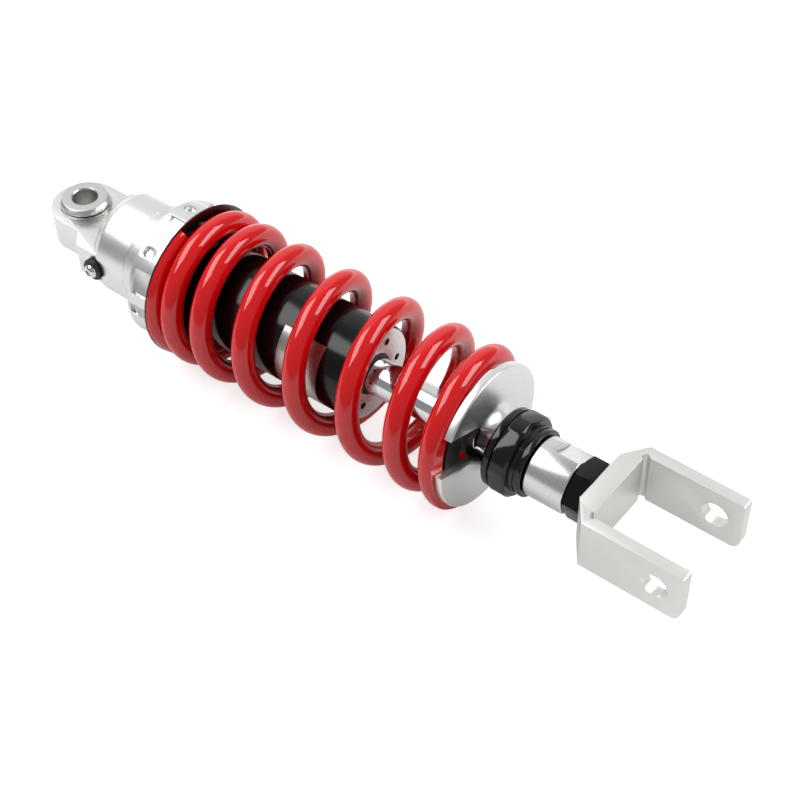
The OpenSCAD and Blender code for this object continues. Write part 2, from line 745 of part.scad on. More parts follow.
// Outline of the clevis from the side, with its tips and back edges rounded
module clevis_side() {
    h = clevis_h / 2;
    back = 1.5;
    tip = clevis_end - tip_round;
    polygon(concat(arc(tip, h - tip_round, tip_round, 0, 90), arc(web_x + back, h - back, back, 90, 180),
                   arc(web_x + back, back - h, back, 180, 270),
                   arc(tip, tip_round - h, tip_round, 270, 360)));
}

top_mount();
eye_bushes();
eye_spacers();
gas_screw();
gas_screw_seal();
head_oring();
damper_tube();
seal_head();
seal_head_oring();
rod_bush();
rod_seal();
wiper_seal();
floating_piston();
floating_piston_seal();
preload_collar();
spring_washer();
spring();
lower_spring_seat();
bump_stop();
piston_rod();
piston();
piston_band();
compression_shims();
rebound_shims();
piston_nut();
top_out_bumper();
rebound_needle();
cross_pin();
rebound_knob();
rod_end();
lock_nut();
clevis();
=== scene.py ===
"""Dresses the rear shock absorber on its CAD frame and lights it in a plain white studio.

Sizes are millimetres in the shock's own frame: X runs from the eye to the clevis, Z along the eye's bolt.
Outlines are lists of points, in which a third value is the radius of that corner.
"""

import logging
import math
from collections.abc import Sequence
from dataclasses import dataclass
from enum import Enum, IntEnum

import bmesh
import bpy
import numpy as np
from mathutils import Matrix, Vector


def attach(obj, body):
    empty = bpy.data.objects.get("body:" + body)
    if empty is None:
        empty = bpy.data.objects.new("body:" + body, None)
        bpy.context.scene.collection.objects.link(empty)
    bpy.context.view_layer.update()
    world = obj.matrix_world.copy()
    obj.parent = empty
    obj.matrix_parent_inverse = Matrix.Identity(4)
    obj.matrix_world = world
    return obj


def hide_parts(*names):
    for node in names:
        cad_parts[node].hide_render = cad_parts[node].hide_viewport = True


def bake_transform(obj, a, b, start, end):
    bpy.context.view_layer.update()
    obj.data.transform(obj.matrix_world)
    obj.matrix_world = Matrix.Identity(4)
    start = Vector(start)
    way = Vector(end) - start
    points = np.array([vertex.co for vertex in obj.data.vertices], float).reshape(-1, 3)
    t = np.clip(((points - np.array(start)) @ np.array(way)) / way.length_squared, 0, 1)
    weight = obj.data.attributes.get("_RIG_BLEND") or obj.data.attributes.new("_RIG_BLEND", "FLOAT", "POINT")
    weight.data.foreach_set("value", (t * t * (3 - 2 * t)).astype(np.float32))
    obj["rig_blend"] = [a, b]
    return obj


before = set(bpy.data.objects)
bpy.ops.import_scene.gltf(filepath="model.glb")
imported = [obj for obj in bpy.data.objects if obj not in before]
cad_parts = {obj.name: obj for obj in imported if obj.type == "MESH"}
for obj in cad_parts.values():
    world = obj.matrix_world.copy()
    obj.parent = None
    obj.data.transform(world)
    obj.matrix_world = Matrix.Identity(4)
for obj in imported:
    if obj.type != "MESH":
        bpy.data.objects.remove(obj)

Piece = bpy.types.Object
Tree = bpy.types.NodeTree
Socket = bpy.types.NodeSocket
Point = tuple[float, float]
Place = tuple[float, float, float]

MM = 0.001
SMOOTH_ANGLE = math.radians(28)
LOG = logging.getLogger("rear_shock")

# How far cutters stand past a face that they cut through, and how far they reach out from the shock's axis.
PAST = 2.0
WELL_PAST = 5.0
NEAR_REACH = 20.0
MID_REACH = 30.0
REACH = 40.0
# Points closer than this are one point.
SAME_PLACE = 1e-5
# A corner flatter than this stays a plain point, and a round takes up at most this share of an edge.
STRAIGHT = math.radians(175)
EDGE_SHARE = 0.49

# Places and radii that two sub-assemblies share.
SOCKET_X = 30.0
TUBE_R = 19.0
ROD_R = 7.0
ROD_END = 211.1
WASHER_END = 61.7
SEAT_FACE = 195.5

# Noise that gives every finish its grain: its settings, and the range that nearly all of it lies in.
# Real grit and turning marks are finer than a pixel of the picture, so their grain is drawn coarser, to show.
NOISE = {"Detail": 3.0, "Roughness": 0.6}
NOISE_LOW, NOISE_HIGH = 0.3, 0.7
# Sockets of a Mix node that mixes colours.
MIX_FIRST, MIX_SECOND, MIX_RESULT = 6, 7, 2


class Axis(Enum):
    """Axis that a turned piece was spun about."""

    X = "X"
    Y = "Y"
    Z = "Z"

    def place(self, along: float, side: float, out: float) -> Place:
        """Places a point given along the axis and across it.

        Args:
            along: Distance along the axis; Y counts towards -Y, the way the gas screw faces.
            side: First distance across it.
            out: Second distance across it.

        Returns:
            The point.
        """
        places = {Axis.X: (along, side, out), Axis.Y: (side, -along, out), Axis.Z: (side, out, along)}
        return places[self]


class Lay(Enum):
    """How a raised outline lies: which of its first value, second value and height is X, Y and Z."""

    PLAN = (0, 1, 2)
    SIDE = (0, 2, 1)
    END_ON = (2, 0, 1)


class Merge(Enum):
    """What is done to a piece with another."""

    JOIN = "UNION"
    CUT = "DIFFERENCE"
    TRIM = "INTERSECT"


class Facets(IntEnum):
    """Flat pieces round a turned shape."""

    WIDEST = 224
    WIDE = 192
    MIDDLE = 160
    NARROW = 128
    EYE = 96
    SCREW = 64
    HOLE = 40
    SMALL_HOLE = 32


class Surface(Enum):
    """How a surface was made; on a turned one the grain runs in rings."""

    TURNED = "turned"
    BLASTED = "blasted"
    COATED = "coated"
    MOULDED = "moulded"


def linear(hex_colour: str) -> tuple[float, float, float, float]:
    """Turns an sRGB hex colour into linear values.

    Args:
        hex_colour: Six hex digits after a hash.

    Returns:
        Linear red, green, blue and an alpha of 1.
    """
    parts = [int(hex_colour[i : i + 2], 16) / 255 for i in (1, 3, 5)]
    red, green, blue = (c / 12.92 if c <= 0.04045 else ((c + 0.055) / 1.055) ** 2.4 for c in parts)
    return red, green, blue, 1.0


def add_node(
    tree: Tree, kind: str, links: dict[str | int, object] | None = None, **settings: object
) -> bpy.types.Node:
    """Adds a node with its settings, and sets or links its inputs.

    Args:
        tree: Tree that takes the node.
        kind: Blender's name for the node's type.
        links: Input name or number to a value, or to the socket that feeds it.
        **settings: Properties of the node.

    Returns:
        The new node.
    """
    node = tree.nodes.new(kind)
    for name, value in settings.items():
        setattr(node, name, value)
    for socket, value in (links or {}).items():
        if isinstance(value, Socket):
            tree.links.new(value, node.inputs[socket])
        else:
            node.inputs[socket].default_value = value
    return node


def empty_tree(owner: bpy.types.Material | bpy.types.World) -> Tree:
    """Gives a material or a world a node tree with nothing in it.

    Args:
        owner: The material or world.

    Returns:
        Its tree.
    """
    owner.use_nodes = True
    owner.node_tree.nodes.clear()
    return owner.node_tree


@dataclass(frozen=True)
class Finish:
    """One surface finish: what it is made of, how it was made and what that gives the eye."""

    name: str
    slot: str
    colour: str
    shade: str
    roughness: float
    grain_mm: float
    relief_mm: float
    spread: float = 0.05
    metallic: float = 1.0
    surface: Surface = Surface.TURNED
    axis: Axis = Axis.X
    coat: float = 0.0
    coat_roughness: float = 0.03
    coat_ior: float = 1.5
    ior: float = 1.5
    specular: float = 0.5

    def material(self) -> bpy.types.Material:
        """Builds the finish's material, or returns the one that was built before.

        Returns:
            The material.
        """
        made = bpy.data.materials.get(self.name)
        if made is not None:
            return made
        made = bpy.data.materials.new(self.name)
        tree = empty_tree(made)
        place = add_node(tree, "ShaderNodeTexCoord").outputs["Object"]
        if self.surface is Surface.TURNED:
            place = self._rings(tree, place)
        grain = add_node(
            tree, "ShaderNodeTexNoise", {"Vector": place, "Scale": 1 / (self.grain_mm * MM), **NOISE}
        ).outputs["Fac"]
        tint = add_node(
            tree,
            "ShaderNodeMix",
            {"Factor": grain, MIX_FIRST: linear(self.colour), MIX_SECOND: linear(self.shade)},
            data_type="RGBA",
        ).outputs[MIX_RESULT]
        rough = add_node(
            tree,
            "ShaderNodeMapRange",
            {
                "Value": grain,
                "From Min": NOISE_LOW,
                "From Max": NOISE_HIGH,
                "To Min": self.roughness - self.spread,
                "To Max": self.roughness + self.spread,
            },
        ).outputs["Result"]
        bump = add_node(
            tree, "ShaderNodeBump", {"Height": grain, "Distance": self.relief_mm * MM, "Strength": 1.0}
        ).outputs["Normal"]
        shader = add_node(
            tree,
            "ShaderNodeBsdfPrincipled",
            {
                "Base Color": tint,
                "Roughness": rough,
                "Normal": bump,
                "Metallic": self.metallic,
                "IOR": self.ior,
                "Coat Weight": self.coat,
                "Coat Roughness": self.coat_roughness,
                "Coat IOR": self.coat_ior,
                "Specular IOR Level": self.specular,
            },
        )
        add_node(tree, "ShaderNodeOutputMaterial", {"Surface": shader.outputs["BSDF"]})
        return made

    def _rings(self, tree: Tree, place: Socket) -> Socket:
        """Folds a place into distance along and out from the turning axis, so that the grain runs in rings.

        Args:
            tree: Tree of the material.
            place: Object coordinates.

        Returns:
            The folded place.
        """
        split = add_node(tree, "ShaderNodeSeparateXYZ", {"Vector": place}).outputs
        along = self.axis.value
        across = {name: split[name] for name in "XYZ" if name != along}
        spoke = add_node(tree, "ShaderNodeCombineXYZ", across).outputs["Vector"]
        out = add_node(tree, "ShaderNodeVectorMath", {0: spoke}, operation="LENGTH").outputs["Value"]
        return add_node(tree, "ShaderNodeCombineXYZ", {"X": split[along], "Y": out}).outputs["Vector"]


# Clear anodised aluminium off a lathe: soft bright sheen, faint rings.
SATIN_TURNED = Finish(
    "aluminium_satin_turned", "satin_aluminium", "#EFEFED", "#E4E4E2",
    roughness=0.34, grain_mm=0.5, relief_mm=0.002,
)
# The same on the eye's spacers, a little darker, with rings round the eye's bolt.
SATIN_TURNED_EYE = Finish(
    "aluminium_satin_turned_eye", "satin_aluminium", "#DADAD8", "#CCCCCA",
    roughness=0.32, grain_mm=0.4, relief_mm=0.003, axis=Axis.Z,
)
# The same metal milled and finely blasted: even and pale, with a fine grit.
SATIN_BLASTED = Finish(
    "aluminium_fine_blasted", "satin_aluminium", "#F1F1EF", "#E9E9E7",
    roughness=0.3, grain_mm=0.35, relief_mm=0.004, spread=0.04, surface=Surface.BLASTED,
)
# Blasted more coarsely: nearly white, with a dull, even sheen.
CLEVIS_BLASTED = Finish(
    "aluminium_clevis_blasted", "blasted_aluminium", "#EEEEEB", "#E4E4E1",
    roughness=0.44, grain_mm=0.4, relief_mm=0.008, spread=0.04, surface=Surface.BLASTED,
)
# Finely turned: bright, with soft bands of light along it.
POLISHED_TURNED = Finish(
    "aluminium_polished_turned", "polished_aluminium", "#ECEAEA", "#DEDCDC",
    roughness=0.25, grain_mm=0.5, relief_mm=0.0002, spread=0.03,
)
# Hard chrome on a ground rod: a mirror.
HARD_CHROME = Finish(
    "steel_hard_chromed", "hard_chrome", "#E8E8EA", "#E0E0E3",
    roughness=0.09, grain_mm=0.8, relief_mm=0.0004, spread=0.02,
)
# Turned steel: greyer than the aluminium round it, and shinier.
BUSH_STEEL = Finish(
    "steel_turned_bush", "bush_steel", "#C6C6C3", "#B6B6B4",
    roughness=0.24, grain_mm=0.4, relief_mm=0.002, axis=Axis.Z,
)
# Ground steel: mid grey, with fine rings.
PLAIN_STEEL = Finish(
    "steel_ground", "plain_steel", "#B8B8BA", "#A6A6A9",
    roughness=0.3, grain_mm=0.4, relief_mm=0.002, spread=0.06,
)
# Sintered bronze: warm and dull, with open pores.
BRONZE = Finish(
    "bronze_sintered", "bronze", "#B08D57", "#96733F",
    roughness=0.4, grain_mm=0.3, relief_mm=0.004, spread=0.06, surface=Surface.BLASTED,
)
# Powder coat under a clear gloss: deep red with a slow ripple.
RED_COAT = Finish(
    "powder_coat_red_gloss", "red_powder_coat", "#DF0C12", "#D4090E",
    roughness=0.4, grain_mm=6.0, relief_mm=0.012, spread=0.04, metallic=0.0, surface=Surface.COATED,
    coat=1.0, coat_roughness=0.02, coat_ior=1.6, specular=0.0,
)
# Wet black paint on a drawn tube.
BLACK_PAINT = Finish(
    "paint_black_gloss", "gloss_black_paint", "#08080A", "#050506",
    roughness=0.14, grain_mm=5.0, relief_mm=0.004, spread=0.02, metallic=0.0, surface=Surface.COATED,
    specular=0.36,
)
# Dyed anodising: black metal that still shows a soft sheen on its edges.
BLACK_ANODISED = Finish(
    "aluminium_black_anodised", "black_anodised", "#0A0A0E", "#060609",
    roughness=0.1, grain_mm=0.5, relief_mm=0.0005, spread=0.02, metallic=0.0,
)
# Black oxide on steel: dark grey, half a metal to the eye.
BLACK_OXIDE = Finish(
    "steel_black_oxide", "black_steel", "#17171A", "#101012",
    roughness=0.22, grain_mm=0.6, relief_mm=0.003, spread=0.04, metallic=0.5,
)
# Moulded rubber: black and dull.
RUBBER = Finish(
    "rubber_moulded", "black_rubber", "#101010", "#0B0B0B",
    roughness=0.5, grain_mm=1.2, relief_mm=0.01, spread=0.08, metallic=0.0, surface=Surface.MOULDED,
)
# Moulded nylon: black, with a sharp light along its edge.
NYLON = Finish(
    "nylon_moulded", "black_nylon", "#0E0E0F", "#0A0A0A",
    roughness=0.14, grain_mm=1.5, relief_mm=0.002, spread=0.04, metallic=0.0, surface=Surface.MOULDED,
    ior=1.8,
)
# Plain metal foil of the tube's label, left bare.
FOIL = Finish(
    "foil_bare", "satin_aluminium", "#C9C8C6", "#BDBCBA",
    roughness=0.3, grain_mm=0.6, relief_mm=0.004, surface=Surface.BLASTED,
)


def angles(start: float, end: float, points: int) -> np.ndarray:
    """Spreads angles evenly between two, which are in degrees, and gives them in radians."""
    return np.radians(np.linspace(start, end, points))


def filleted(corners: Sequence[tuple[float, ...]], steps: int = 4) -> list[Point]:
    """Rounds the corners of a closed outline.

    Args:
        corners: Points [along, out] with an optional third value, the corner's radius.
        steps: Flat pieces in a rounded corner.

    Returns:
        The outline with its corners rounded.
    """
    outline: list[Point] = []
    for i, corner in enumerate(corners):
        here = Vector(corner[:2])
        before = Vector(corners[i - 1][:2]) - here
        after = Vector(corners[(i + 1) % len(corners)][:2]) - here
        angle = before.angle(after, math.pi)
        if len(corner) < 3 or angle > STRAIGHT:
            outline.append((here.x, here.y))
            continue
        slope = math.tan(angle / 2)
        reach = min(corner[2] / slope, EDGE_SHARE * before.length, EDGE_SHARE * after.length)
        inwards = (before.normalized() + after.normalized()).normalized()
        middle = here + inwards * (reach * slope / math.sin(angle / 2))
        start = here + before.normalized() * reach - middle
        end = here + after.normalized() * reach - middle
        sweep = start.angle_signed(end)
        for k in range(steps + 1):
            a = -sweep * k / steps
            x = middle.x + start.x * math.cos(a) - start.y * math.sin(a)
            y = middle.y + start.x * math.sin(a) + start.y * math.cos(a)
            outline.append((x, y))
    return outline


def new_object(name: str, data: bpy.types.ID) -> Piece:
    """Puts a mesh, lamp or camera into the scene as an object at the origin.

    Args:
        name: Name of the object.
        data: What it holds; a mesh is in metres.

    Returns:
        The object.
    """
    made = bpy.data.objects.new(name, data)
    bpy.context.scene.collection.objects.link(made)
    return made


def from_bmesh(name: str, shape: bmesh.types.BMesh) -> Piece:
    """Makes an object from a closed shape in millimetres, with its faces turned outwards.

    Args:
        name: Name of the piece.
        shape: The shape, which is freed.

    Returns:
        The object.
    """
    bmesh.ops.remove_doubles(shape, verts=shape.verts, dist=SAME_PLACE)
    bmesh.ops.scale(shape, vec=(MM, MM, MM), verts=shape.verts)
    bmesh.ops.recalc_face_normals(shape, faces=shape.faces)
    mesh = bpy.data.meshes.new(name)
    shape.to_mesh(mesh)
    shape.free()
    return new_object(name, mesh)


def turned(name: str, outline: Sequence[Point], segments: int = Facets.MIDDLE, axis: Axis = Axis.X) -> Piece:
    """Spins a closed outline about an axis through the origin.

    Args:
        name: Name of the piece.
        outline: Points [along, out]; points on the axis close the shape there.
        segments: Flat pieces round the axis.
        axis: Axis of the spin.

    Returns:
        The closed piece.
    """
    shape = bmesh.new()
    rings: list[list[bmesh.types.BMVert]] = []
    turns = [2 * math.pi * k / segments for k in range(segments)]
    for along, out in outline:
        if out < SAME_PLACE:
            rings.append([shape.verts.new(axis.place(along, 0, 0))] * segments)
            continue
        places = [axis.place(along, out * math.sin(a), out * math.cos(a)) for a in turns]
        rings.append([shape.verts.new(place) for place in places])
    for i, ring in enumerate(rings):
        following = rings[(i + 1) % len(rings)]
        for k in range(segments):
            corners = [ring[k], ring[(k + 1) % segments], following[(k + 1) % segments], following[k]]
            unique = list(dict.fromkeys(corners))
            if len(unique) >= 3:
                shape.faces.new(unique)
    return from_bmesh(name, shape)


def bar(
    name: str,
    low: float,
    high: float,
    radius: float,
    segments: int,
    axis: Axis = Axis.X,
    at: Place = (0, 0, 0),
) -> Piece:
    """Makes a plain round bar, to cut a hole with.

    Args:
        name: Name of the cutter.
        low: Where it starts along its axis.
        high: Where it ends.
        radius: Its radius.
        segments: Flat pieces round it.
        axis: Direction of its axis.
        at: Place that its axis goes through.

    Returns:
        The bar.
    """
    made = turned(name, [(low, 0), (low, radius), (high, radius), (high, 0)], segments, axis)
    made.data.transform(Matrix.Translation(Vector(at) * MM))
    return made


def prism(name: str, outline: Sequence[Point], low: float, high: float, lay: Lay) -> Piece:
    """Raises a flat outline into a straight block.

    Args:
        name: Name of the piece.
        outline: Corners of the outline.
        low: Height of its lower face.
        high: Height of its upper face.
        lay: How the outline lies.

    Returns:
        The closed piece.
    """
    shape = bmesh.new()
    bottom, top = (
        [shape.verts.new([(a, b, height)[k] for k in lay.value]) for a, b in outline]
        for height in (low, high)
    )
    for k in range(len(outline)):
        after = (k + 1) % len(outline)
        shape.faces.new([bottom[k], bottom[after], top[after], top[k]])
    shape.faces.new(bottom)
    shape.faces.new(top)
    return from_bmesh(name, shape)


def block(name: str, low: float, high: float, half: float, floor: float, top: float) -> Piece:
    """Makes a square cutter that stands out from the shock's axis, at angle zero.

    Args:
        name: Name of the cutter.
        low: Where it starts along the shock.
        high: Where it ends.
        half: Half of its width.
        floor: Distance from the axis where it begins.
        top: Distance from the axis where it ends.

    Returns:
        The block.
    """
    outline = [(-half, floor), (half, floor), (half, top), (-half, top)]
    return prism(name, outline, low, high, Lay.END_ON)


def settle(piece: Piece) -> None:
    """Turns a piece with modifiers into its plain evaluated mesh.

    Args:
        piece: The piece, which loses its modifiers.
    """
    bpy.context.view_layer.update()
    graph = bpy.context.evaluated_depsgraph_get()
    shown = piece.evaluated_get(graph)
    mesh = bpy.data.meshes.new_from_object(shown, preserve_all_data_layers=True, depsgraph=graph)
    old = piece.data
    piece.modifiers.clear()
    piece.data = mesh
    bpy.data.meshes.remove(old)


def combine(piece: Piece, other: Piece, merge: Merge) -> None:
    """Joins, cuts or trims a piece with another, which is used up.

    Args:
        piece: The piece that stays.
        other: The piece that is used up.
        merge: What is done.
    """
    modifier = piece.modifiers.new("combine", "BOOLEAN")
    modifier.operation = merge.value
    modifier.solver = "EXACT"
    modifier.object = other
    settle(piece)
    bpy.data.objects.remove(other)


def soften(piece: Piece, width: float, segments: int = 2, angle: float = 40.0) -> None:
    """Breaks a piece's sharp edges.

    Args:
        piece: The piece.
        width: Width of the break.
        segments: Flat pieces across it.
        angle: Least angle, in degrees, of an edge that is broken.
    """
    modifier = piece.modifiers.new("soften", "BEVEL")
    modifier.width = width * MM
    modifier.segments = segments
    modifier.limit_method = "ANGLE"
    modifier.angle_limit = math.radians(angle)
    modifier.use_clamp_overlap = True
    settle(piece)


def finish_mesh(piece: Piece, finish: Finish) -> None:
    """Sets a piece's material and smooth shading, with edges past the smoothing angle kept sharp.

    Args:
        piece: The piece.
        finish: Its finish.
    """
    mesh = piece.data
    mesh.materials.clear()
    mesh.materials.append(finish.material())
    mesh.shade_smooth()
    mesh.set_sharp_from_angle(angle=SMOOTH_ANGLE)


def dress(piece: Piece, finish: Finish, body: str, *nodes: str) -> None:
    """Gives a piece its finish and its body, and lets it stand for CAD nodes.

    Args:
        piece: The piece.
        finish: Its finish.
        body: CAD body that it moves with.
        *nodes: CAD nodes that it stands for.
    """
    finish_mesh(piece, finish)
    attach(piece, body)
    if nodes:
        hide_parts(*nodes)
    LOG.info("%s rides on %s", piece.name, body)


def open_tree(name: str, inputs: dict[str, str], output: str) -> Tree:
    """Starts a Geometry Nodes tree.

    Args:
        name: Name of the tree.
        inputs: Name of each input and its kind of socket.
        output: Name of the shape that it gives.

    Returns:
        The tree, with only its sockets.
    """
    tree = bpy.data.node_groups.new(name, "GeometryNodeTree")
    for label, kind in inputs.items():
        tree.interface.new_socket(label, in_out="INPUT", socket_type=f"NodeSocket{kind}")
    tree.interface.new_socket(output, in_out="OUTPUT", socket_type="NodeSocketGeometry")
    return tree


def close_tree(tree: Tree, shape: Socket, finish: Socket, output: str) -> None:
    """Ends a Geometry Nodes tree with a real mesh in its finish.

    Args:
        tree: The tree.
        shape: Shape that was made.
        finish: Material that it gets.
        output: Name of the tree's output.
    """
    real = add_node(tree, "GeometryNodeRealizeInstances", {"Geometry": shape}).outputs[0]
    dressed = add_node(tree, "GeometryNodeSetMaterial", {"Geometry": real, "Material": finish}).outputs[0]
    add_node(tree, "NodeGroupOutput", {output: dressed})


def run_tree(piece: Piece, tree: Tree, values: dict[str, object]) -> None:
    """Runs a Geometry Nodes tree on a piece and keeps the plain mesh.

    Args:
        piece: The piece.
        tree: The tree.
        values: Name of each input and its value.
    """
    modifier = piece.modifiers.new(tree.name, "NODES")
    modifier.node_group = tree
    for item in tree.interface.items_tree:
        if item.in_out == "INPUT" and item.name in values:
            modifier[item.identifier] = values[item.name]
    settle(piece)


class RoundCut:
    """Geometry Nodes tree that cuts a piece with copies of a cutter set round the shock's axis."""

    def __init__(self) -> None:
        """Builds the tree with its named inputs."""
        inputs = {"Piece": "Geometry", "Cutter": "Object", "Count": "Int", "First Angle": "Float"}
        tree = open_tree("round_cut", {**inputs, "Finish": "Material"}, "Piece")
        self.tree = tree
        given = add_node(tree, "NodeGroupInput").outputs
        origin = add_node(tree, "GeometryNodePoints", {"Count": given["Count"]}).outputs[0]
        angle = add_node(tree, "GeometryNodeInputIndex").outputs[0]
        sums = (("DIVIDE", given["Count"]), ("MULTIPLY", 2 * math.pi), ("ADD", given["First Angle"]))
        for operation, value in sums:
            angle = add_node(tree, "ShaderNodeMath", {0: angle, 1: value}, operation=operation).outputs[0]
        turning = add_node(tree, "ShaderNodeCombineXYZ", {"X": angle}).outputs[0]
        cutter = add_node(tree, "GeometryNodeObjectInfo", {"Object": given["Cutter"]}).outputs["Geometry"]
        copies = add_node(
            tree, "GeometryNodeInstanceOnPoints", {"Points": origin, "Instance": cutter, "Rotation": turning}
        ).outputs[0]
        loose = add_node(tree, "GeometryNodeRealizeInstances", {"Geometry": copies}).outputs[0]
        meshes = {"Mesh 1": given["Piece"], "Mesh 2": loose}
        cut = add_node(tree, "GeometryNodeMeshBoolean", meshes, operation="DIFFERENCE").outputs[0]
        close_tree(tree, cut, given["Finish"], "Piece")

    def cut(self, piece: Piece, cutter: Piece, count: int, first: float, finish: Finish) -> None:
        """Cuts a piece and uses the cutter up.

        Args:
            piece: The piece.
            cutter: Shape of one cut, at angle zero.
            count: Number of cuts.
            first: Angle of the first cut in degrees, from +Z towards -Y.
            finish: Finish of the cut piece.
        """
        values = {"Cutter": cutter, "Count": count, "First Angle": math.radians(first)}
        run_tree(piece, self.tree, {**values, "Finish": finish.material()})
        bpy.data.objects.remove(cutter)


@dataclass
class UpperEnd:
    """Head with the eye's lug, its bushes and spacers, and the gas screw."""

    lug_r: float = 13.8
    lug_t: float = 13.8
    lug_straight: float = 9.5
    shoulder_slope: float = 0.8
    shoulder_inset: float = 0.05
    head_start: float = 20.5
    head_end: float = 40.0
    head_r: float = 21.0
    cone_len: float = 4.7
    cone_rise: float = 3.5
    edge: float = 0.45
    bush_in_r: float = 7.65
    bush_r: float = 8.85
    bush_flange_r: float = 10.2
    bush_flange_t: float = 0.8
    bolt_r: float = 5.0
    bolt_chamfer: float = 0.5
    spacer_r: float = 7.6
    spacer_flange_r: float = 10.0
    spacer_chamfer: float = 1.0
    spacer_lip: Point = (0.5, 0.4)
    eye_half: float = 10.8
    gap: float = 0.3
    gas_x: float = 24.0
    spotface_r: float = 5.3
    screw_r: float = 2.5
    screw_len: float = 5.0
    gas_seal_r: float = 4.5
    gas_seal_t: float = 2.7
    gas_seal_round: float = 0.8
    gas_dome_r: float = 2.9
    gas_dome_h: float = 2.0
    key_r: float = 1.2
    key_floor_r: float = 1.1
    key_floor: float = 0.4

    @property
    def shoulder_y(self) -> float:
        """Half width of the lug's shoulders, just inside the head's round."""
        return math.sqrt(self.head_r**2 - self.lug_t**2 / 4) - self.shoulder_inset

    def build(self) -> None:
        """Builds and dresses the upper end."""
        self._head()
        self._eye()
        self._gas_screw()

    def _head(self) -> None:
        """Builds the machined head with its lug."""
        cone_end = self.head_start + self.cone_len
        nose = filleted(
            [
                (self.head_start, 0),
                (self.head_start, self.head_r - self.cone_rise, 1.0),
                (cone_end, self.head_r, 2.5),
                (self.head_end, self.head_r, 0.15),
                (self.head_end, TUBE_R, 0.2),
                (SOCKET_X, TUBE_R),
                (SOCKET_X, 0),
            ],
            steps=12,
        )
        head = turned("head", nose)
        shoulder_x = self.lug_straight + self.shoulder_slope * (self.shoulder_y - self.lug_r)
        outline = [
            *((self.lug_r * math.cos(a), self.lug_r * math.sin(a)) for a in angles(90, 270, points=49)),
            (self.lug_straight, -self.lug_r),
            (shoulder_x, -self.shoulder_y),
            (cone_end, -self.shoulder_y),
            (cone_end, self.shoulder_y),
            (shoulder_x, self.shoulder_y),
            (self.lug_straight, self.lug_r),
        ]
        combine(head, prism("lug", outline, -self.lug_t / 2, self.lug_t / 2, Lay.PLAN), Merge.JOIN)
        combine(head, bar("eye_bore", -self.lug_t, self.lug_t, self.bush_r, Facets.EYE, Axis.Z), Merge.CUT)
        place = (self.gas_x, 0, 0)
        outside = self.head_r + PAST
        spotface = bar("spotface", self.shoulder_y, outside, self.spotface_r, Facets.SCREW, Axis.Y, place)
        combine(head, spotface, Merge.CUT)
        soften(head, self.edge, segments=3)
        dress(head, SATIN_BLASTED, "damper_body", "top_mount")

    def _eye(self) -> None:
        """Builds the two pressed bushes and the two spacers."""
        half = self.lug_t / 2
        bush_end = half + self.bush_flange_t
        flange = bush_end + self.gap
        lip_t, lip_in = self.spacer_lip
        for name, sign in (("upper", 1), ("lower", -1)):
            bush = filleted(
                [
                    (sign * self.gap, self.bush_in_r),
                    (sign * self.gap, self.bush_r),
                    (sign * half, self.bush_r),
                    (sign * half, self.bush_flange_r, 0.15),
                    (sign * bush_end, self.bush_flange_r, 0.25),
                    (sign * bush_end, self.bush_in_r, 0.1),
                ]
            )
            piece = turned(f"eye_bush_{name}", bush, Facets.EYE, Axis.Z)
            dress(piece, BUSH_STEEL, "damper_body", "eye_bushes")
            spacer = filleted(
                [
                    (sign * self.gap / 2, self.bolt_r),
                    (sign * self.gap / 2, self.spacer_r),
                    (sign * flange, self.spacer_r, 0.2),
                    (sign * flange, self.spacer_flange_r - lip_in, 0.2),
                    (sign * (flange + lip_t), self.spacer_flange_r, 0.2),
                    (sign * (self.eye_half - self.spacer_chamfer), self.spacer_flange_r, 0.25),
                    (sign * self.eye_half, self.spacer_flange_r - self.spacer_chamfer, 0.25),
                    (sign * self.eye_half, self.bolt_r + self.bolt_chamfer, 0.12),
                    (sign * (self.eye_half - self.bolt_chamfer), self.bolt_r, 0.12),
                ]
            )
            piece = turned(f"eye_spacer_{name}", spacer, Facets.EYE, Axis.Z)
            dress(piece, SATIN_TURNED_EYE, "eye_mount", "eye_spacers")

    def _gas_screw(self) -> None:
        """Builds the gas screw with its key's socket, and the rubber seal under it."""
        face = self.shoulder_y
        top = face + self.gas_seal_t
        dome_end = math.degrees(math.acos(self.key_r / self.gas_dome_r))
        screw = [
            (face - self.screw_len, 0),
            (face - self.screw_len, self.screw_r),
            (top, self.screw_r),
            *(
                (top + self.gas_dome_h * math.sin(a), self.gas_dome_r * math.cos(a))
                for a in angles(0, dome_end, points=10)
            ),
            (top + self.key_floor, self.key_floor_r),
            (top + self.key_floor, 0),
        ]
        seal = filleted(
            [
                (face, self.screw_r),
                (face, self.gas_seal_r, self.gas_seal_round),
                (top, self.gas_seal_r, self.gas_seal_round),
                (top, self.screw_r),
            ]
        )
        for name, outline, finish, node in (
            ("gas_screw_head", screw, HARD_CHROME, "gas_screw"),
            ("gas_seal_ring", seal, RUBBER, "gas_screw_seal"),
        ):
            piece = turned(name, outline, Facets.SCREW, Axis.Y)
            piece.data.transform(Matrix.Translation((self.gas_x * MM, 0, 0)))
            dress(piece, finish, "damper_body", node)


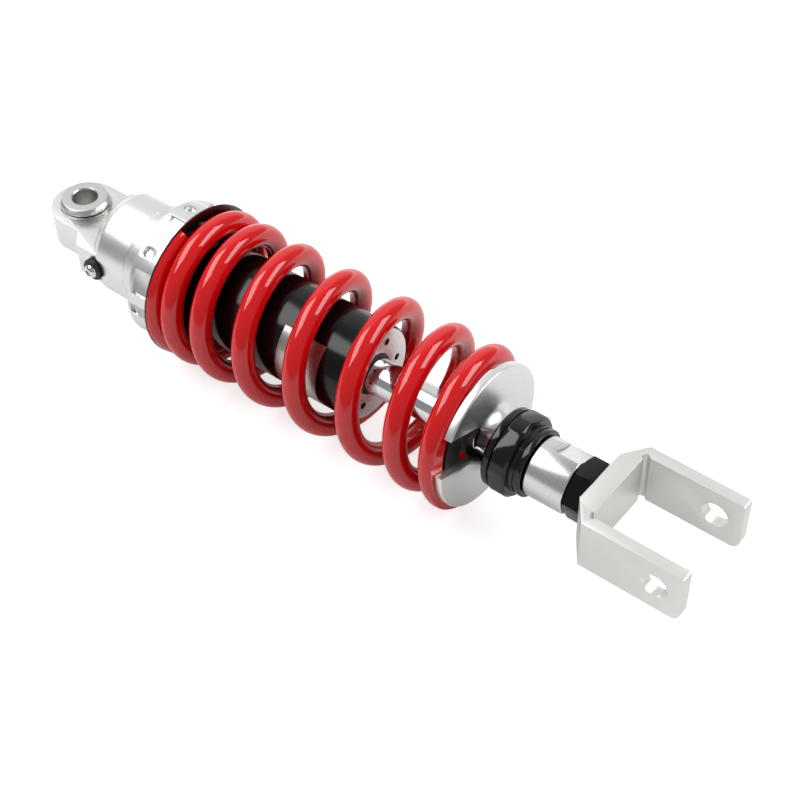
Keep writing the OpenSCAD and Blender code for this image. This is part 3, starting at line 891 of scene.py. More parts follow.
@dataclass
class Damper:
    """Black tube with its bare label, the seal head, the wiper and the chromed rod."""

    tube_end: float = 146.7
    bore_r: float = 17.0
    seal_x: float = 134.2
    seal_face: float = 147.3
    flange_r: float = 18.4
    pocket_r: float = 8.3
    pocket_len: float = 7.5
    rod_gap: float = 0.3
    edge: float = 0.15
    pins: int = 6
    pin_r: float = 1.4
    pin_depth: float = 6.0
    pin_end: float = 160.0
    pin_circle_r: float = 12.9
    pin_angle: float = -35.0
    wiper_in: float = 1.1
    wiper_out: float = 0.9
    wiper_gap: float = 0.04
    wiper_brow: Point = (0.4, 0.2)
    wiper_tip: float = 0.5
    rod_start: float = 128.9
    rod_nose: float = 109.3
    rod_nose_r: float = 5.0
    needle_r: float = 2.2
    label_low: float = 115.6
    label_high: float = 134.8
    label_from: float = 37.0
    label_to: float = 250.0
    label_lift: float = 0.01
    label_t: float = 0.06

    def build(self, round_cut: RoundCut) -> None:
        """Builds and dresses the damper.

        Args:
            round_cut: Cuts the pin-spanner holes.
        """
        tube = filleted(
            [
                (SOCKET_X, self.bore_r),
                (SOCKET_X, TUBE_R),
                (self.tube_end, TUBE_R, 0.7),
                (self.tube_end, self.bore_r, 0.3),
            ]
        )
        dress(turned("tube", tube, Facets.WIDE), BLACK_PAINT, "damper_body", "damper_tube")
        self._label()
        self._seal_head(round_cut)
        self._wiper()
        self._rod()

    def _label(self) -> None:
        """Wraps a thin bare foil label round the tube."""
        inner = TUBE_R + self.label_lift
        outer = inner + self.label_t
        turns = angles(self.label_from, self.label_to, points=97)
        outline = [(-inner * math.sin(a), inner * math.cos(a)) for a in turns]
        outline += [(-outer * math.sin(a), outer * math.cos(a)) for a in reversed(turns)]
        label = prism("bare_label", outline, self.label_low, self.label_high, Lay.END_ON)
        dress(label, FOIL, "damper_body")

    def _seal_head(self, round_cut: RoundCut) -> None:
        """Builds the seal head with its pin-spanner holes.

        Args:
            round_cut: Cuts the holes.
        """
        pocket_x = self.seal_x + self.pocket_len
        outline = filleted(
            [
                (self.seal_x, ROD_R + self.rod_gap),
                (self.seal_x, self.bore_r),
                (self.tube_end, self.bore_r),
                (self.tube_end, self.flange_r),
                (self.seal_face, self.flange_r, 0.3),
                (self.seal_face, self.pocket_r, 0.25),
                (pocket_x, self.pocket_r),
                (pocket_x, ROD_R + self.rod_gap),
            ]
        )
        seal_head = turned("seal_head_cap", outline)
        place = (0, 0, self.pin_circle_r)
        floor = self.seal_face - self.pin_depth
        hole = bar("pin_hole", floor, self.pin_end, self.pin_r, Facets.SMALL_HOLE, at=place)
        round_cut.cut(seal_head, hole, self.pins, self.pin_angle, POLISHED_TURNED)
        soften(seal_head, self.edge)
        dress(seal_head, POLISHED_TURNED, "damper_body", "seal_head")

    def _wiper(self) -> None:
        """Builds the wiper's lip round the rod."""
        back = self.seal_face - self.wiper_in
        front = self.seal_face + self.wiper_out
        brow_x, brow_in = self.wiper_brow
        lip = filleted(
            [
                (back, ROD_R + self.wiper_gap),
                (back, self.pocket_r),
                (self.seal_face, self.pocket_r, 0.1),
                (self.seal_face + brow_x, self.pocket_r - brow_in, 0.2),
                (front, ROD_R + self.wiper_tip, 0.2),
                (front, ROD_R + self.wiper_gap, 0.1),
            ]
        )
        dress(turned("wiper_lip", lip, Facets.NARROW), RUBBER, "damper_body", "wiper_seal")

    def _rod(self) -> None:
        """Builds the chromed rod."""
        outline = [
            (self.rod_nose, self.needle_r),
            (ROD_END, self.needle_r),
            (ROD_END, ROD_R),
            (self.rod_start, ROD_R),
            (self.rod_start, self.rod_nose_r),
            (self.rod_nose, self.rod_nose_r),
        ]
        dress(turned("chromed_rod", outline, Facets.WIDE), HARD_CHROME, "rod_assembly", "piston_rod")


@dataclass
class PreloadCollar:
    """Collar that sets the spring's preload, and the washer under the spring."""

    start: float = 40.06
    end: float = 61.15
    bore_r: float = 19.05
    neck_r: float = 21.0
    neck_len: float = 4.6
    flare_len: float = 4.4
    rim_r: float = 28.0
    edge: float = 0.22
    holes: int = 7
    hole_r: float = 2.4
    hole_x: float = 53.8
    hole_depth: float = 1.8
    hole_angle: float = 39.0
    notch_w: float = 10.0
    notch_len: float = 10.5
    notch_depth: float = 1.9
    notch_ramp: float = 1.6
    notch_past: float = 0.2
    washer_gap: float = 0.02
    washer_in_r: float = 19.3
    washer_r: float = 31.05

    def build(self, round_cut: RoundCut) -> None:
        """Builds and dresses the collar and the washer.

        Args:
            round_cut: Cuts the holes and the notches.
        """
        flare_x = self.start + self.neck_len
        rise = self.rim_r - self.neck_r
        cove = [
            (flare_x + self.flare_len * math.cos(a), self.rim_r - rise * math.sin(a))
            for a in angles(0, 90, points=13)
        ]
        outline = filleted(
            [
                (self.start, self.bore_r, 0.2),
                (self.end, self.bore_r, 0.2),
                (self.end, self.rim_r, 0.4),
                (*cove[0], 0.6),
                *cove[1:],
                (self.start, self.neck_r, 0.15),
            ]
        )
        collar = turned("collar", outline, Facets.WIDEST)
        floor = self.rim_r - self.hole_depth
        hole = bar("collar_hole", floor, REACH, self.hole_r, Facets.HOLE, Axis.Z, (self.hole_x, 0, 0))
        round_cut.cut(collar, hole, self.holes, self.hole_angle, SATIN_TURNED)
        round_cut.cut(collar, self._notch(), self.holes, self.hole_angle + 180 / self.holes, SATIN_TURNED)
        soften(collar, self.edge)
        dress(collar, SATIN_TURNED, "preload_collar", "preload_collar")
        washer = filleted(
            [
                (self.end + self.washer_gap, self.washer_in_r, 0.1),
                (self.end + self.washer_gap, self.washer_r, 0.2),
                (WASHER_END, self.washer_r, 0.2),
                (WASHER_END, self.washer_in_r, 0.1),
            ]
        )
        dress(turned("washer", washer), NYLON, "spring_perch", "spring_washer")

    def _notch(self) -> Piece:
        """Shapes the cutter of one notch, which runs out up a short ramp.

        Returns:
            The cutter, at angle zero.
        """
        back = self.end - self.notch_len
        floor = self.rim_r - self.notch_depth
        outline = [
            (back, self.rim_r + self.notch_past),
            (back + self.notch_ramp, floor),
            (self.end + WELL_PAST, floor),
            (self.end + WELL_PAST, REACH),
            (back, REACH),
        ]
        return prism("collar_notch", outline, -self.notch_w / 2, self.notch_w / 2, Lay.SIDE)


@dataclass
class Spring:
    """Coil spring wound by Geometry Nodes: an upper length for the preload, a lower one for the stroke."""

    end_gap: float = 0.1
    wire_r: float = 4.35
    coil_r: float = 26.5
    turns: float = 7.65
    closed_top: float = 0.95
    closed_bottom: float = 0.1
    closed_pitch: float = 9.45
    tip_t: float = 2.4
    tip_angle: float = 14.0
    seam: float = 2.6
    rings_per_turn: int = 96
    sides: int = 40

    @property
    def active(self) -> float:
        """Turns that stand open."""
        return self.turns - self.closed_top - self.closed_bottom

    @property
    def ground(self) -> float:
        """Depth that is ground off the wire at each end."""
        return self.wire_r - self.tip_t

    @property
    def rise(self) -> float:
        """Half of what the open turns add to the closed length."""
        return (SEAT_FACE - WASHER_END + 2 * self.ground - self.closed_pitch * self.turns) / 2

    def opening(self, turn: np.ndarray) -> np.ndarray:
        """Tells how far the wire stands off its closed length.

        Args:
            turn: Turns from the upper tip.

        Returns:
            Distance along the shock.
        """
        share = np.clip((turn - self.closed_top) / self.active, 0, 1)
        return self.rise * (1 - np.cos(math.pi * share))

    def _sizes(self, first: float, last: float) -> dict[str, float]:
        """Gives the winding tree's inputs that are plain numbers, with lengths in metres.

        Args:
            first: Turn where a length of wire begins.
            last: Turn where it ends.

        Returns:
            Name of each input and its value.
        """
        return {
            "First Turn": first,
            "Last Turn": last,
            "Coil Radius": self.coil_r * MM,
            "Wire Radius": self.wire_r * MM,
            "First Place": (WASHER_END - self.ground) * MM,
            "Closed Pitch": self.closed_pitch * MM,
            "Rise": self.rise * MM,
            "Closed Turns": self.closed_top,
            "Open Turns": self.active,
            "Tip Angle": math.radians(self.tip_angle),
            "Low End": (WASHER_END + self.end_gap) * MM,
            "High End": (SEAT_FACE - self.end_gap) * MM,
        }

    def _tree(self) -> Tree:
        """Builds the tree that winds a length of the wire.

        Returns:
            The tree, with its sizes as named inputs.
        """
        inputs = dict.fromkeys(self._sizes(0.0, self.turns), "Float")
        inputs |= {"Sections": "Int", "Sides": "Int", "Finish": "Material"}
        tree = open_tree("wound_wire", inputs, "Wire")
        values: dict[object, object] = {s.name: s for s in add_node(tree, "NodeGroupInput").outputs}
        values["share"] = add_node(tree, "GeometryNodeSplineParameter").outputs["Factor"]
        place = add_node(tree, "GeometryNodeInputPosition").outputs[0]
        spot = add_node(tree, "ShaderNodeSeparateXYZ", {"Vector": place}).outputs
        values["spot"] = spot["X"]
        # Each sum has its own name and may use the ones above it: a helix whose pitch opens between its ends.
        sums = (
            ("length", "SUBTRACT", "Last Turn", "First Turn"),
            ("gone", "MULTIPLY", "length", "share"),
            ("turn", "ADD", "First Turn", "gone"),
            ("past closed", "SUBTRACT", "turn", "Closed Turns"),
            ("opened", "DIVIDE", "past closed", "Open Turns"),
            ("from nought", "MAXIMUM", "opened", 0.0),
            ("to one", "MINIMUM", "from nought", 1.0),
            ("half turn", "MULTIPLY", "to one", math.pi),
            ("swing", "COSINE", "half turn", 0.0),
            ("lift", "SUBTRACT", 1.0, "swing"),
            ("raised", "MULTIPLY", "Rise", "lift"),
            ("wound", "MULTIPLY", "Closed Pitch", "turn"),
            ("closed", "ADD", "First Place", "wound"),
            ("along", "ADD", "closed", "raised"),
            ("turned", "MULTIPLY", "turn", 2 * math.pi),
            ("angle", "ADD", "Tip Angle", "turned"),
            ("sine", "SINE", "angle", 0.0),
            ("cosine", "COSINE", "angle", 0.0),
            ("near", "MULTIPLY", "Coil Radius", "sine"),
            ("depth", "MULTIPLY", "near", -1.0),
            ("height", "MULTIPLY", "Coil Radius", "cosine"),
            ("off washer", "MAXIMUM", "spot", "Low End"),
            ("ground", "MINIMUM", "off washer", "High End"),
        )
        for name, operation, *terms in sums:
            links = {k: values.get(term, term) for k, term in enumerate(terms)}
            values[name] = add_node(tree, "ShaderNodeMath", links, operation=operation).outputs[0]
        ends = {"Start": (0, 0, 0), "End": (1, 0, 0)}
        line = add_node(tree, "GeometryNodeCurvePrimitiveLine", ends).outputs[0]
        parts = {"Curve": line, "Count": values["Sections"]}
        fine = add_node(tree, "GeometryNodeResampleCurve", parts).outputs[0]
        marked = add_node(
            tree,
            "GeometryNodeStoreNamedAttribute",
            {"Geometry": fine, "Name": "turn", "Value": values["turn"]},
            data_type="FLOAT",
            domain="POINT",
        ).outputs[0]
        helix = {"X": values["along"], "Y": values["depth"], "Z": values["height"]}
        route = add_node(tree, "ShaderNodeCombineXYZ", helix).outputs[0]
        path = add_node(tree, "GeometryNodeSetPosition", {"Geometry": marked, "Position": route}).outputs[0]
        ring = {"Resolution": values["Sides"], "Radius": values["Wire Radius"]}
        section = add_node(tree, "GeometryNodeCurvePrimitiveCircle", ring).outputs[0]
        wire = add_node(
            tree, "GeometryNodeCurveToMesh", {"Curve": path, "Profile Curve": section, "Fill Caps": True}
        ).outputs[0]
        held = {"X": values["ground"], "Y": spot["Y"], "Z": spot["Z"]}
        seat = add_node(tree, "ShaderNodeCombineXYZ", held).outputs[0]
        flat = add_node(tree, "GeometryNodeSetPosition", {"Geometry": wire, "Position": seat}).outputs[0]
        close_tree(tree, flat, values["Finish"], "Wire")
        return tree

    def _wind(self, tree: Tree, name: str, first: float, last: float) -> Piece:
        """Winds one length of the wire into a plain mesh.

        Args:
            tree: The winding tree.
            name: Name of the piece.
            first: Turn where it begins.
            last: Turn where it ends.

        Returns:
            The piece.
        """
        piece = new_object(name, bpy.data.meshes.new(name))
        counts = {"Sections": round((last - first) * self.rings_per_turn) + 1, "Sides": self.sides}
        run_tree(piece, tree, {**self._sizes(first, last), **counts, "Finish": RED_COAT.material()})
        finish_mesh(piece, RED_COAT)
        return piece

    def build(self) -> None:
        """Winds both lengths, and lets the turns close up where they stand open."""
        tree = self._tree()
        last = self.turns - self.closed_bottom
        for name, first, final, near, far in (
            ("spring_upper_turns", 0.0, self.seam, "spring_perch", "damper_body"),
            ("spring_lower_turns", self.seam, self.turns, "damper_body", "seat_carrier"),
        ):
            piece = self._wind(tree, name, first, final)
            attributes = piece.data.attributes
            turn = np.zeros(len(piece.data.vertices), np.float32)
            attributes["turn"].data.foreach_get("value", turn)
            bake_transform(piece, near, far, (WASHER_END * MM, 0, 0), (SEAT_FACE * MM, 0, 0))
            low, high = self.opening(np.array([first, min(final, last)]))
            weight = np.clip((self.opening(turn) - low) / (high - low), 0, 1).astype(np.float32)
            attributes["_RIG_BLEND"].data.foreach_set("value", weight)
            attributes.remove(attributes["turn"])
            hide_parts("spring")
            LOG.info("%s bends between %s and %s", name, near, far)


@dataclass
class LowerSeat:
    """Slotted seat under the spring, with the bump stop and its liner ring on the seat's face."""

    length: float = 9.4
    rim: float = 3.2
    rim_r: float = 28.0
    hub_in_r: float = 7.9
    hub_r: float = 9.7
    cove_r: float = 14.5
    edge: float = 0.25
    slot_half: float = 7.6
    slot_angle: float = 70.0
    face_gap: float = 0.05
    rod_gap: float = 0.05
    bump_r: float = 9.6
    bump_len: float = 8.4
    # Outline of the bump stop: distance from its top, depth below its radius, and radius of the corner.
    bump_rings: tuple[Place, ...] = (
        (4.9, 0.0, 0.6),
        (3.4, 0.9, 0.6),
        (2.4, 0.3, 0.5),
        (1.4, 0.5, 0.5),
        (0.0, 1.8, 0.8),
    )
    liner_in_r: float = 13.0
    liner_r: float = 21.5
    liner_t: float = 1.6

    def build(self, round_cut: RoundCut) -> None:
        """Builds and dresses the seat, the bump stop and the liner.

        Args:
            round_cut: Cuts the seat's slot.
        """
        end = SEAT_FACE + self.length
        rim_end = SEAT_FACE + self.rim
        dish = [
            (end - (end - rim_end) * math.cos(a), self.cove_r - (self.cove_r - self.hub_r) * math.sin(a))
            for a in angles(0, 90, points=25)
        ]
        outline = filleted(
            [
                (SEAT_FACE, self.hub_in_r),
                (SEAT_FACE, self.rim_r, 0.4),
                (rim_end, self.rim_r, 0.5),
                *dish,
                (end, self.hub_in_r, 0.2),
            ]
        )
        seat = turned("seat", outline, Facets.WIDEST)
        slot = block("seat_slot", SEAT_FACE - WELL_PAST, end + WELL_PAST, self.slot_half, 0, REACH)
        round_cut.cut(seat, slot, 1, self.slot_angle, SATIN_TURNED)
        soften(seat, self.edge)
        dress(seat, SATIN_TURNED, "seat_carrier", "lower_spring_seat")
        back = SEAT_FACE - self.face_gap
        top = back - self.bump_len
        bump = filleted(
            [
                (top, ROD_R + self.rod_gap, 0.2),
                (back, ROD_R + self.rod_gap),
                (back, self.bump_r, 0.4),
                *((top + along, self.bump_r - depth, corner) for along, depth, corner in self.bump_rings),
            ]
        )
        dress(turned("bump_cushion", bump, Facets.NARROW), RUBBER, "seat_carrier", "bump_stop")
        liner = filleted(
            [
                (back - self.liner_t, self.liner_in_r, 0.3),
                (back, self.liner_in_r, 0.2),
                (back, self.liner_r, 0.2),
                (back - self.liner_t, self.liner_r, 0.5),
            ]
        )
        dress(turned("seat_liner", liner), RUBBER, "seat_carrier", "bump_stop")


@dataclass
class LowerEnd:
    """Rebound knob, rod end, lock nut and clevis."""

    knob_x: float = 205.25
    knob_end: float = 220.25
    stem_r: float = 9.0
    stem_gap: float = 0.05
    knob_r: float = 15.7
    knob_step: float = 0.5
    knob_edge: float = 0.25
    front_in: float = 1.2
    front_len: float = 0.9
    flange_len: float = 3.0
    ring_len: float = 4.6
    ring_inset: float = 2.7
    thread_r: float = 10.4
    thread_x: float = 212.3
    flats: int = 6
    flat_turn: float = 35.0
    flat_depth: float = 0.8
    stem_x: float = 204.95
    body_x: float = 220.55
    body_r: float = 11.5
    body_edge: float = 0.2
    spanner_len: float = 10.0
    spanner_depth: float = 1.7
    spanner_turn: float = -28.0
    spanner_past: float = 0.01
    stud_r: float = 8.0
    stud_gap: float = 0.3
    nut_x: float = 236.55
    nut_across: float = 20.6
    nut_turn: float = 21.0
    nut_gap: float = 0.02
    nut_edge: float = 0.15
    # Cone that takes the nut's corners off: it starts this far out from a face and this low under the flats,
    # and ends this far in from the face and this high over the corners.
    chamfer_out: float = 1.0
    chamfer_low: float = 2.2
    chamfer_in: float = 0.9
    chamfer_high: float = 0.1
    web_x: float = 243.95
    throat_x: float = 251.75
    web_skin: float = 1.6
    pin_x: float = 280.0
    pin_r: float = 5.0
    tip_x: float = 290.4
    inner: float = 16.7
    outer: float = 21.3
    height: float = 21.5
    corner_x: float = 7.0
    corner_y: float = 9.5
    top_round: float = 0.8
    low_round: float = 3.5
    relief_r: float = 1.4
    relief_in: float = 0.4
    clevis_edge: float = 0.4

    def build(self, round_cut: RoundCut) -> None:
        """Builds and dresses the lower end.

        Args:
            round_cut: Cuts the knob's grip flats.
        """
        self._knob(round_cut)
        self._rod_end()
        self._nut()
        self._clevis()

    def _knob(self, round_cut: RoundCut) -> None:
        """Builds the rebound knob.

        Args:
            round_cut: Cuts the grip flats.
        """
        radius, step = self.knob_r, self.knob_step
        bore_r = self.stem_r + self.stem_gap
        grip = self.knob_x + self.flange_len
        ring = self.knob_end - self.ring_len
        ring_r = radius - self.ring_inset
        groove = ring + self.ring_len / 2
        outline = filleted(
            [
                (self.knob_x, bore_r),
                (self.knob_x, radius - self.front_in, 0.3),
                (self.knob_x + self.front_len, radius - step, 0.3),
                (grip, radius - step, 0.2),
                (grip, radius - 3 * step),
                (grip + step, radius - 3 * step),
                (grip + step, radius - step, 0.1),
                (grip + 2 * step, radius, 0.3),
                (ring - 2 * step, radius, 0.3),
                (ring, radius - 2 * step, 0.2),
                (ring, ring_r, 0.1),
                (groove - step, ring_r, 0.12),
                (groove - step, ring_r - step),
                (groove + step, ring_r - step),
                (groove + step, ring_r, 0.12),
                (self.knob_end, ring_r, 0.4),
                (self.knob_end, self.thread_r, 0.2),
                (self.thread_x, self.thread_r),
                (self.thread_x, bore_r),
            ]
        )
        knob = turned("knob", outline, Facets.WIDE)
        flat = block("grip_flat", grip + step / 2, ring, NEAR_REACH, radius - self.flat_depth, MID_REACH)
        round_cut.cut(knob, flat, self.flats, self.flat_turn, BLACK_ANODISED)
        soften(knob, self.knob_edge)
        dress(knob, BLACK_ANODISED, "rebound_knob", "rebound_knob")

    def _rod_end(self) -> None:
        """Builds the rod end with its two spanner flats and stud."""
        stud_end = self.throat_x - self.web_skin - self.stud_gap
        outline = filleted(
            [
                (self.stem_x, ROD_R),
                (self.stem_x, self.stem_r, 0.3),
                (self.body_x, self.stem_r),
                (self.body_x, self.body_r, 0.8),
                (self.nut_x, self.body_r, 0.5),
                (self.nut_x, self.stud_r),
                (stud_end, self.stud_r, 0.8),
                (stud_end, 0),
                (ROD_END, 0),
                (ROD_END, ROD_R),
            ]
        )
        rod_end = turned("rod_end_body", outline, Facets.WIDE)
        low = self.nut_x - self.spanner_len
        high = self.nut_x + self.spanner_past
        floor = self.body_r - self.spanner_depth
        for turn in (self.spanner_turn, self.spanner_turn + 180):
            flat = block("spanner_flat", low, high, NEAR_REACH, floor, NEAR_REACH)
            flat.data.transform(Matrix.Rotation(math.radians(turn), 4, "X"))
            combine(rod_end, flat, Merge.CUT)
        soften(rod_end, self.body_edge)
        dress(rod_end, POLISHED_TURNED, "rod_assembly", "rod_end")

    def _nut(self) -> None:
        """Builds the lock nut."""
        half = self.nut_across / 2
        corner = half / math.cos(math.pi / 6)
        turns = angles(-self.nut_turn, 300 - self.nut_turn, points=6)
        hexagon = [(corner * math.sin(a), corner * math.cos(a)) for a in turns]
        nut = prism("lock_nut_hex", hexagon, self.nut_x + self.nut_gap, self.web_x - self.nut_gap, Lay.END_ON)
        chamfer = [
            (self.nut_x - self.chamfer_out, 0),
            (self.nut_x - self.chamfer_out, half - self.chamfer_low),
            (self.nut_x + self.chamfer_in, corner + self.chamfer_high),
            (self.web_x - self.chamfer_in, corner + self.chamfer_high),
            (self.web_x + self.chamfer_out, half - self.chamfer_low),
            (self.web_x + self.chamfer_out, 0),
        ]
        combine(nut, turned("nut_chamfer", chamfer, Facets.EYE), Merge.TRIM)
        bore = bar("nut_bore", self.nut_x - PAST, self.web_x + PAST, self.stud_r, Facets.EYE)
        combine(nut, bore, Merge.CUT)
        soften(nut, self.nut_edge)
        dress(nut, BLACK_OXIDE, "rod_assembly", "lock_nut")

    def _clevis(self) -> None:
        """Builds the clevis with its holes and inner corner reliefs."""
        half = self.height / 2
        far_half = [
            (self.throat_x, self.inner),
            (self.tip_x, self.inner),
            (self.tip_x, self.outer),
            (self.web_x + self.corner_x, self.outer),
            (self.web_x, self.outer - self.corner_y),
        ]
        outline = [(x, -y) for x, y in reversed(far_half)] + far_half
        clevis = prism("fork", outline, -half, half, Lay.PLAN)
        profile = filleted(
            [
                (self.tip_x, half, self.top_round),
                (self.web_x, half, self.top_round),
                (self.web_x, -half, self.low_round),
                (self.tip_x, -half, self.low_round),
            ],
            steps=10,
        )
        combine(clevis, prism("fork_side", profile, -MID_REACH, MID_REACH, Lay.SIDE), Merge.TRIM)
        relief_x = self.throat_x + self.relief_in
        relief_y = self.inner - self.relief_in
        for y in (relief_y, -relief_y):
            place = (relief_x, y, 0)
            relief = bar("relief", -NEAR_REACH, NEAR_REACH, self.relief_r, Facets.SMALL_HOLE, Axis.Z, place)
            combine(clevis, relief, Merge.CUT)
        blind = self.throat_x - self.web_skin
        combine(clevis, bar("stud_bore", self.web_x - PAST, blind, self.stud_r, Facets.EYE), Merge.CUT)
        pin = bar("pin_bore", -MID_REACH, MID_REACH, self.pin_r, Facets.SCREW, Axis.Y, (self.pin_x, 0, 0))
        combine(clevis, pin, Merge.CUT)
        soften(clevis, self.clevis_edge, segments=3)
        dress(clevis, CLEVIS_BLASTED, "rod_assembly", "clevis")


# CAD nodes that stay, all inside the damper, by their finish.
INNER_NODES: dict[Finish, tuple[str, ...]] = {
    RUBBER: ("head_oring", "seal_head_oring", "rod_seal", "floating_piston_seal", "top_out_bumper"),
    BRONZE: ("rod_bush",),
    POLISHED_TURNED: ("floating_piston", "piston"),
    NYLON: ("piston_band",),
    PLAIN_STEEL: ("compression_shims", "rebound_shims", "piston_nut", "rebound_needle", "cross_pin"),
}


def dress_inner_nodes() -> None:
    """Gives the CAD nodes that stay their finishes."""
    for finish, nodes in INNER_NODES.items():
        for node in nodes:
            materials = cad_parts[node].data.materials
            materials.clear()
            materials.append(finish.material())
            LOG.info("%s stays as it is, in %s", node, finish.name)


@dataclass(frozen=True)
class SoftBox:
    """Soft rectangular lamp that faces the shock; its sizes are metres."""

    name: str
    towards: Place
    along: Place
    wide: float
    long: float
    radiance: float
    distance: float = 0.9
    middle: Place = (0.15, 0.0, 0.0)

    def hang(self) -> None:
        """Hangs the lamp; a radiance of 1 is a face that looks white."""
        light = bpy.data.lights.new(self.name, "AREA")
        light.shape = "RECTANGLE"
        light.size = self.long
        light.size_y = self.wide
        light.energy = self.radiance * math.pi * self.wide * self.long
        lamp = new_object(self.name, light)
        out = Vector(self.towards).normalized()
        x_axis = Vector(self.along) - out * Vector(self.along).dot(out)
        x_axis.normalize()
        turn = Matrix((x_axis, out.cross(x_axis), out)).transposed().to_4x4()
        lamp.matrix_world = Matrix.Translation(Vector(self.middle) + out * self.distance) @ turn


# A long soft box overhead to the left and a square one to the right.
SOFT_BOXES = (
    SoftBox(
        "soft_box_overhead", (-0.55, -0.22, 0.8), (0.36, -0.72, 0.06), wide=0.57, long=0.78, radiance=4.3
    ),
    SoftBox("soft_box_right", (0.57, 0.51, 0.64), (-0.67, 0.74, 0.0), wide=0.48, long=0.62, radiance=4.5),
)


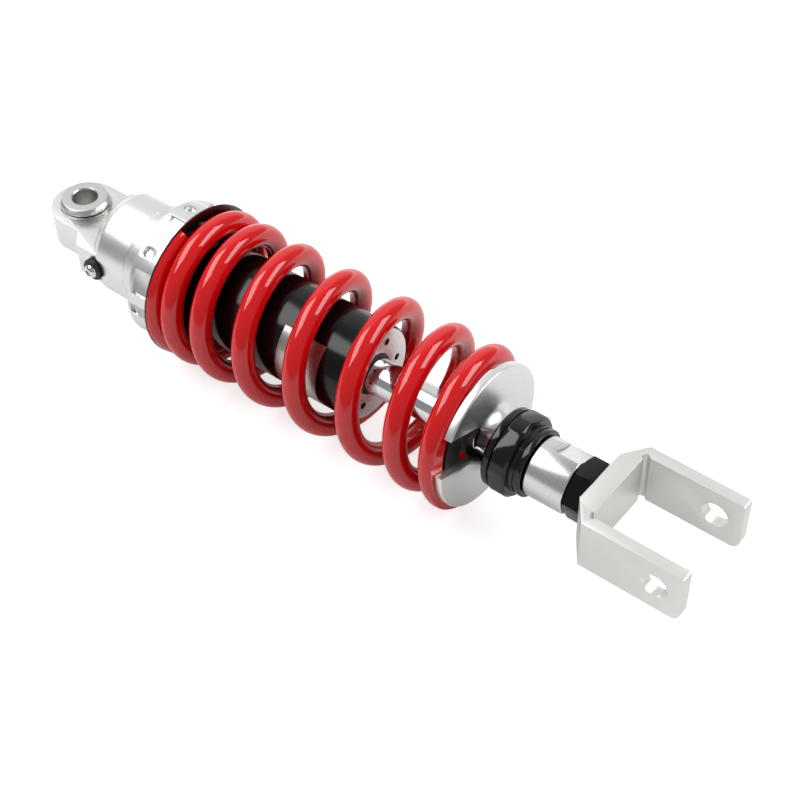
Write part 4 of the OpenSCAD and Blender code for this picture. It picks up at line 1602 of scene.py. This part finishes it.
@dataclass
class Studio:
    """White floor and surround, soft lamps and the camera at the photograph's angle."""

    azimuth: float = 39.085
    elevation: float = 46.307
    distance: float = 617.943
    roll: float = -1.333
    target: Place = (160.0, 0.0, 0.0)
    offset: Point = (-2.452, -8.367)
    focal_px: float = 1710.34
    centre_px: Point = (395.66, 412.26)
    image_px: int = 800
    sensor_mm: float = 36.0
    clip_m: Point = (0.01, 20.0)
    floor_z: float = -31.2
    floor_half: float = 3000.0
    floor_colour: str = "#DCDCDC"
    floor_seen: float = 0.7
    floor_mirrored: float = 0.15
    sheet_mirrored: float = 0.82
    room_mirrored: float = 0.07
    surround_light: float = 0.3
    # Where the sheet behind the shock begins and is full, in metres along the floor.
    floor_sheet: Point = (0.0, 0.4)
    # The same in the surround, as cosines of the angle off straight behind.
    room_sheet: Point = (0.55, 0.95)
    # Sines of the heights between which the sheet dims towards its top, and its share of light there.
    top_heights: Point = (0.76, 0.95)
    top_share: float = 0.45

    @property
    def away(self) -> Place:
        """Level direction from the camera to the sheet behind the shock."""
        az = math.radians(self.azimuth)
        return -math.sin(az), math.cos(az), 0.0

    def build(self) -> None:
        """Sets up the view, floor, surround, lamps and camera."""
        bpy.context.scene.view_settings.view_transform = "Standard"
        self._floor()
        self._surround()
        for soft_box in SOFT_BOXES:
            soft_box.hang()
        self._camera()

    def _sheet(self, tree: Tree, where: Socket, span: Point, least: float) -> Socket:
        """Works out what a mirror sees of the sheet behind the shock.

        Args:
            tree: Tree of the floor or of the surround.
            where: Place or direction that is seen.
            span: How far away from the camera the sheet begins and is full.
            least: Brightness before it begins.

        Returns:
            Brightness, where 1 is white.
        """
        behind = add_node(tree, "ShaderNodeVectorMath", {0: where, 1: self.away}, operation="DOT_PRODUCT")
        start, full = span
        limits = {"From Min": start, "From Max": full, "To Min": least, "To Max": self.sheet_mirrored}
        return add_node(
            tree,
            "ShaderNodeMapRange",
            {"Value": behind.outputs["Value"], **limits},
            interpolation_type="SMOOTHSTEP",
        ).outputs["Result"]

    def _floor(self) -> None:
        """Lays the white floor, which shows white to the camera and keeps the shadow."""
        shape = bmesh.new()
        bmesh.ops.create_grid(shape, x_segments=1, y_segments=1, size=self.floor_half)
        bmesh.ops.translate(shape, vec=(self.target[0], 0, self.floor_z), verts=shape.verts)
        floor = from_bmesh("floor", shape)
        paper = bpy.data.materials.new("paper_white")
        tree = empty_tree(paper)
        seen = add_node(tree, "ShaderNodeLightPath").outputs
        spot = add_node(tree, "ShaderNodeTexCoord").outputs["Object"]
        sheet = self._sheet(tree, spot, self.floor_sheet, self.floor_mirrored)
        plain, shine = (
            add_node(tree, "ShaderNodeMath", {0: seen[ray], 1: light}, operation="MULTIPLY").outputs[0]
            for ray, light in (("Is Camera Ray", self.floor_seen), ("Is Glossy Ray", sheet))
        )
        lit = add_node(tree, "ShaderNodeMath", {0: plain, 1: shine}, operation="MAXIMUM").outputs[0]
        glow = add_node(tree, "ShaderNodeEmission", {"Color": (1, 1, 1, 1), "Strength": lit}).outputs[0]
        matt = add_node(tree, "ShaderNodeBsdfDiffuse", {"Color": linear(self.floor_colour)}).outputs[0]
        both = add_node(tree, "ShaderNodeAddShader", {0: glow, 1: matt}).outputs[0]
        add_node(tree, "ShaderNodeOutputMaterial", {"Surface": both})
        floor.data.materials.append(paper)

    def _surround(self) -> None:
        """Surrounds the object with plain white, dimmer for its light than for the eye."""
        world = bpy.data.worlds.new("white_surround")
        bpy.context.scene.world = world
        tree = empty_tree(world)
        seen = add_node(tree, "ShaderNodeLightPath").outputs
        look = add_node(tree, "ShaderNodeTexCoord").outputs["Generated"]
        flat = (1, 1, 0)
        level = add_node(tree, "ShaderNodeVectorMath", {0: look, 1: flat}, operation="MULTIPLY").outputs[0]
        course = add_node(tree, "ShaderNodeVectorMath", {0: level}, operation="NORMALIZE").outputs[0]
        sheet = self._sheet(tree, course, self.room_sheet, self.room_mirrored)
        height = add_node(tree, "ShaderNodeSeparateXYZ", {"Vector": look}).outputs["Z"]
        start, full = self.top_heights
        limits = {"From Min": start, "From Max": full, "To Min": 1.0, "To Max": self.top_share}
        top = add_node(tree, "ShaderNodeMapRange", {"Value": height, **limits}).outputs["Result"]
        shine = seen["Is Glossy Ray"]
        for share in (sheet, top):
            shine = add_node(tree, "ShaderNodeMath", {0: shine, 1: share}, operation="MULTIPLY").outputs[0]
        lit = seen["Is Camera Ray"]
        for light in (seen["Is Transmission Ray"], shine, self.surround_light):
            lit = add_node(tree, "ShaderNodeMath", {0: lit, 1: light}, operation="MAXIMUM").outputs[0]
        glow = add_node(tree, "ShaderNodeBackground", {"Color": (1, 1, 1, 1), "Strength": lit}).outputs[0]
        add_node(tree, "ShaderNodeOutputWorld", {"Surface": glow})

    def _camera(self) -> None:
        """Sets the camera where the photograph was taken from."""
        az, el, roll = (math.radians(a) for a in (self.azimuth, self.elevation, self.roll))
        back = Vector((math.sin(az) * math.cos(el), -math.cos(az) * math.cos(el), math.sin(el)))
        level = Vector((math.cos(az), math.sin(az), 0))
        rise = back.cross(level)
        right = level * math.cos(roll) + rise * math.sin(roll)
        up = rise * math.cos(roll) - level * math.sin(roll)
        place = Vector(self.target) + back * self.distance + right * self.offset[0] + up * self.offset[1]
        data = bpy.data.cameras.new("photo_camera")
        data.sensor_width = self.sensor_mm
        data.sensor_fit = "HORIZONTAL"
        data.lens = self.focal_px / self.image_px * self.sensor_mm
        data.shift_x = (self.image_px / 2 - self.centre_px[0]) / self.image_px
        data.shift_y = (self.centre_px[1] - self.image_px / 2) / self.image_px
        data.clip_start, data.clip_end = self.clip_m
        camera = new_object("photo_camera", data)
        camera.matrix_world = Matrix.Translation(place * MM) @ Matrix((right, up, back)).transposed().to_4x4()
        bpy.context.scene.camera = camera


def main() -> None:
    """Builds the shock in order, then the studio."""
    logging.basicConfig(level=logging.INFO, format="%(name)s: %(message)s")
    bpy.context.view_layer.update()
    round_cut = RoundCut()
    dress_inner_nodes()
    UpperEnd().build()
    Damper().build(round_cut)
    PreloadCollar().build(round_cut)
    Spring().build()
    LowerSeat().build(round_cut)
    LowerEnd().build(round_cut)
    Studio().build()


if __name__ == "__main__":
    main()
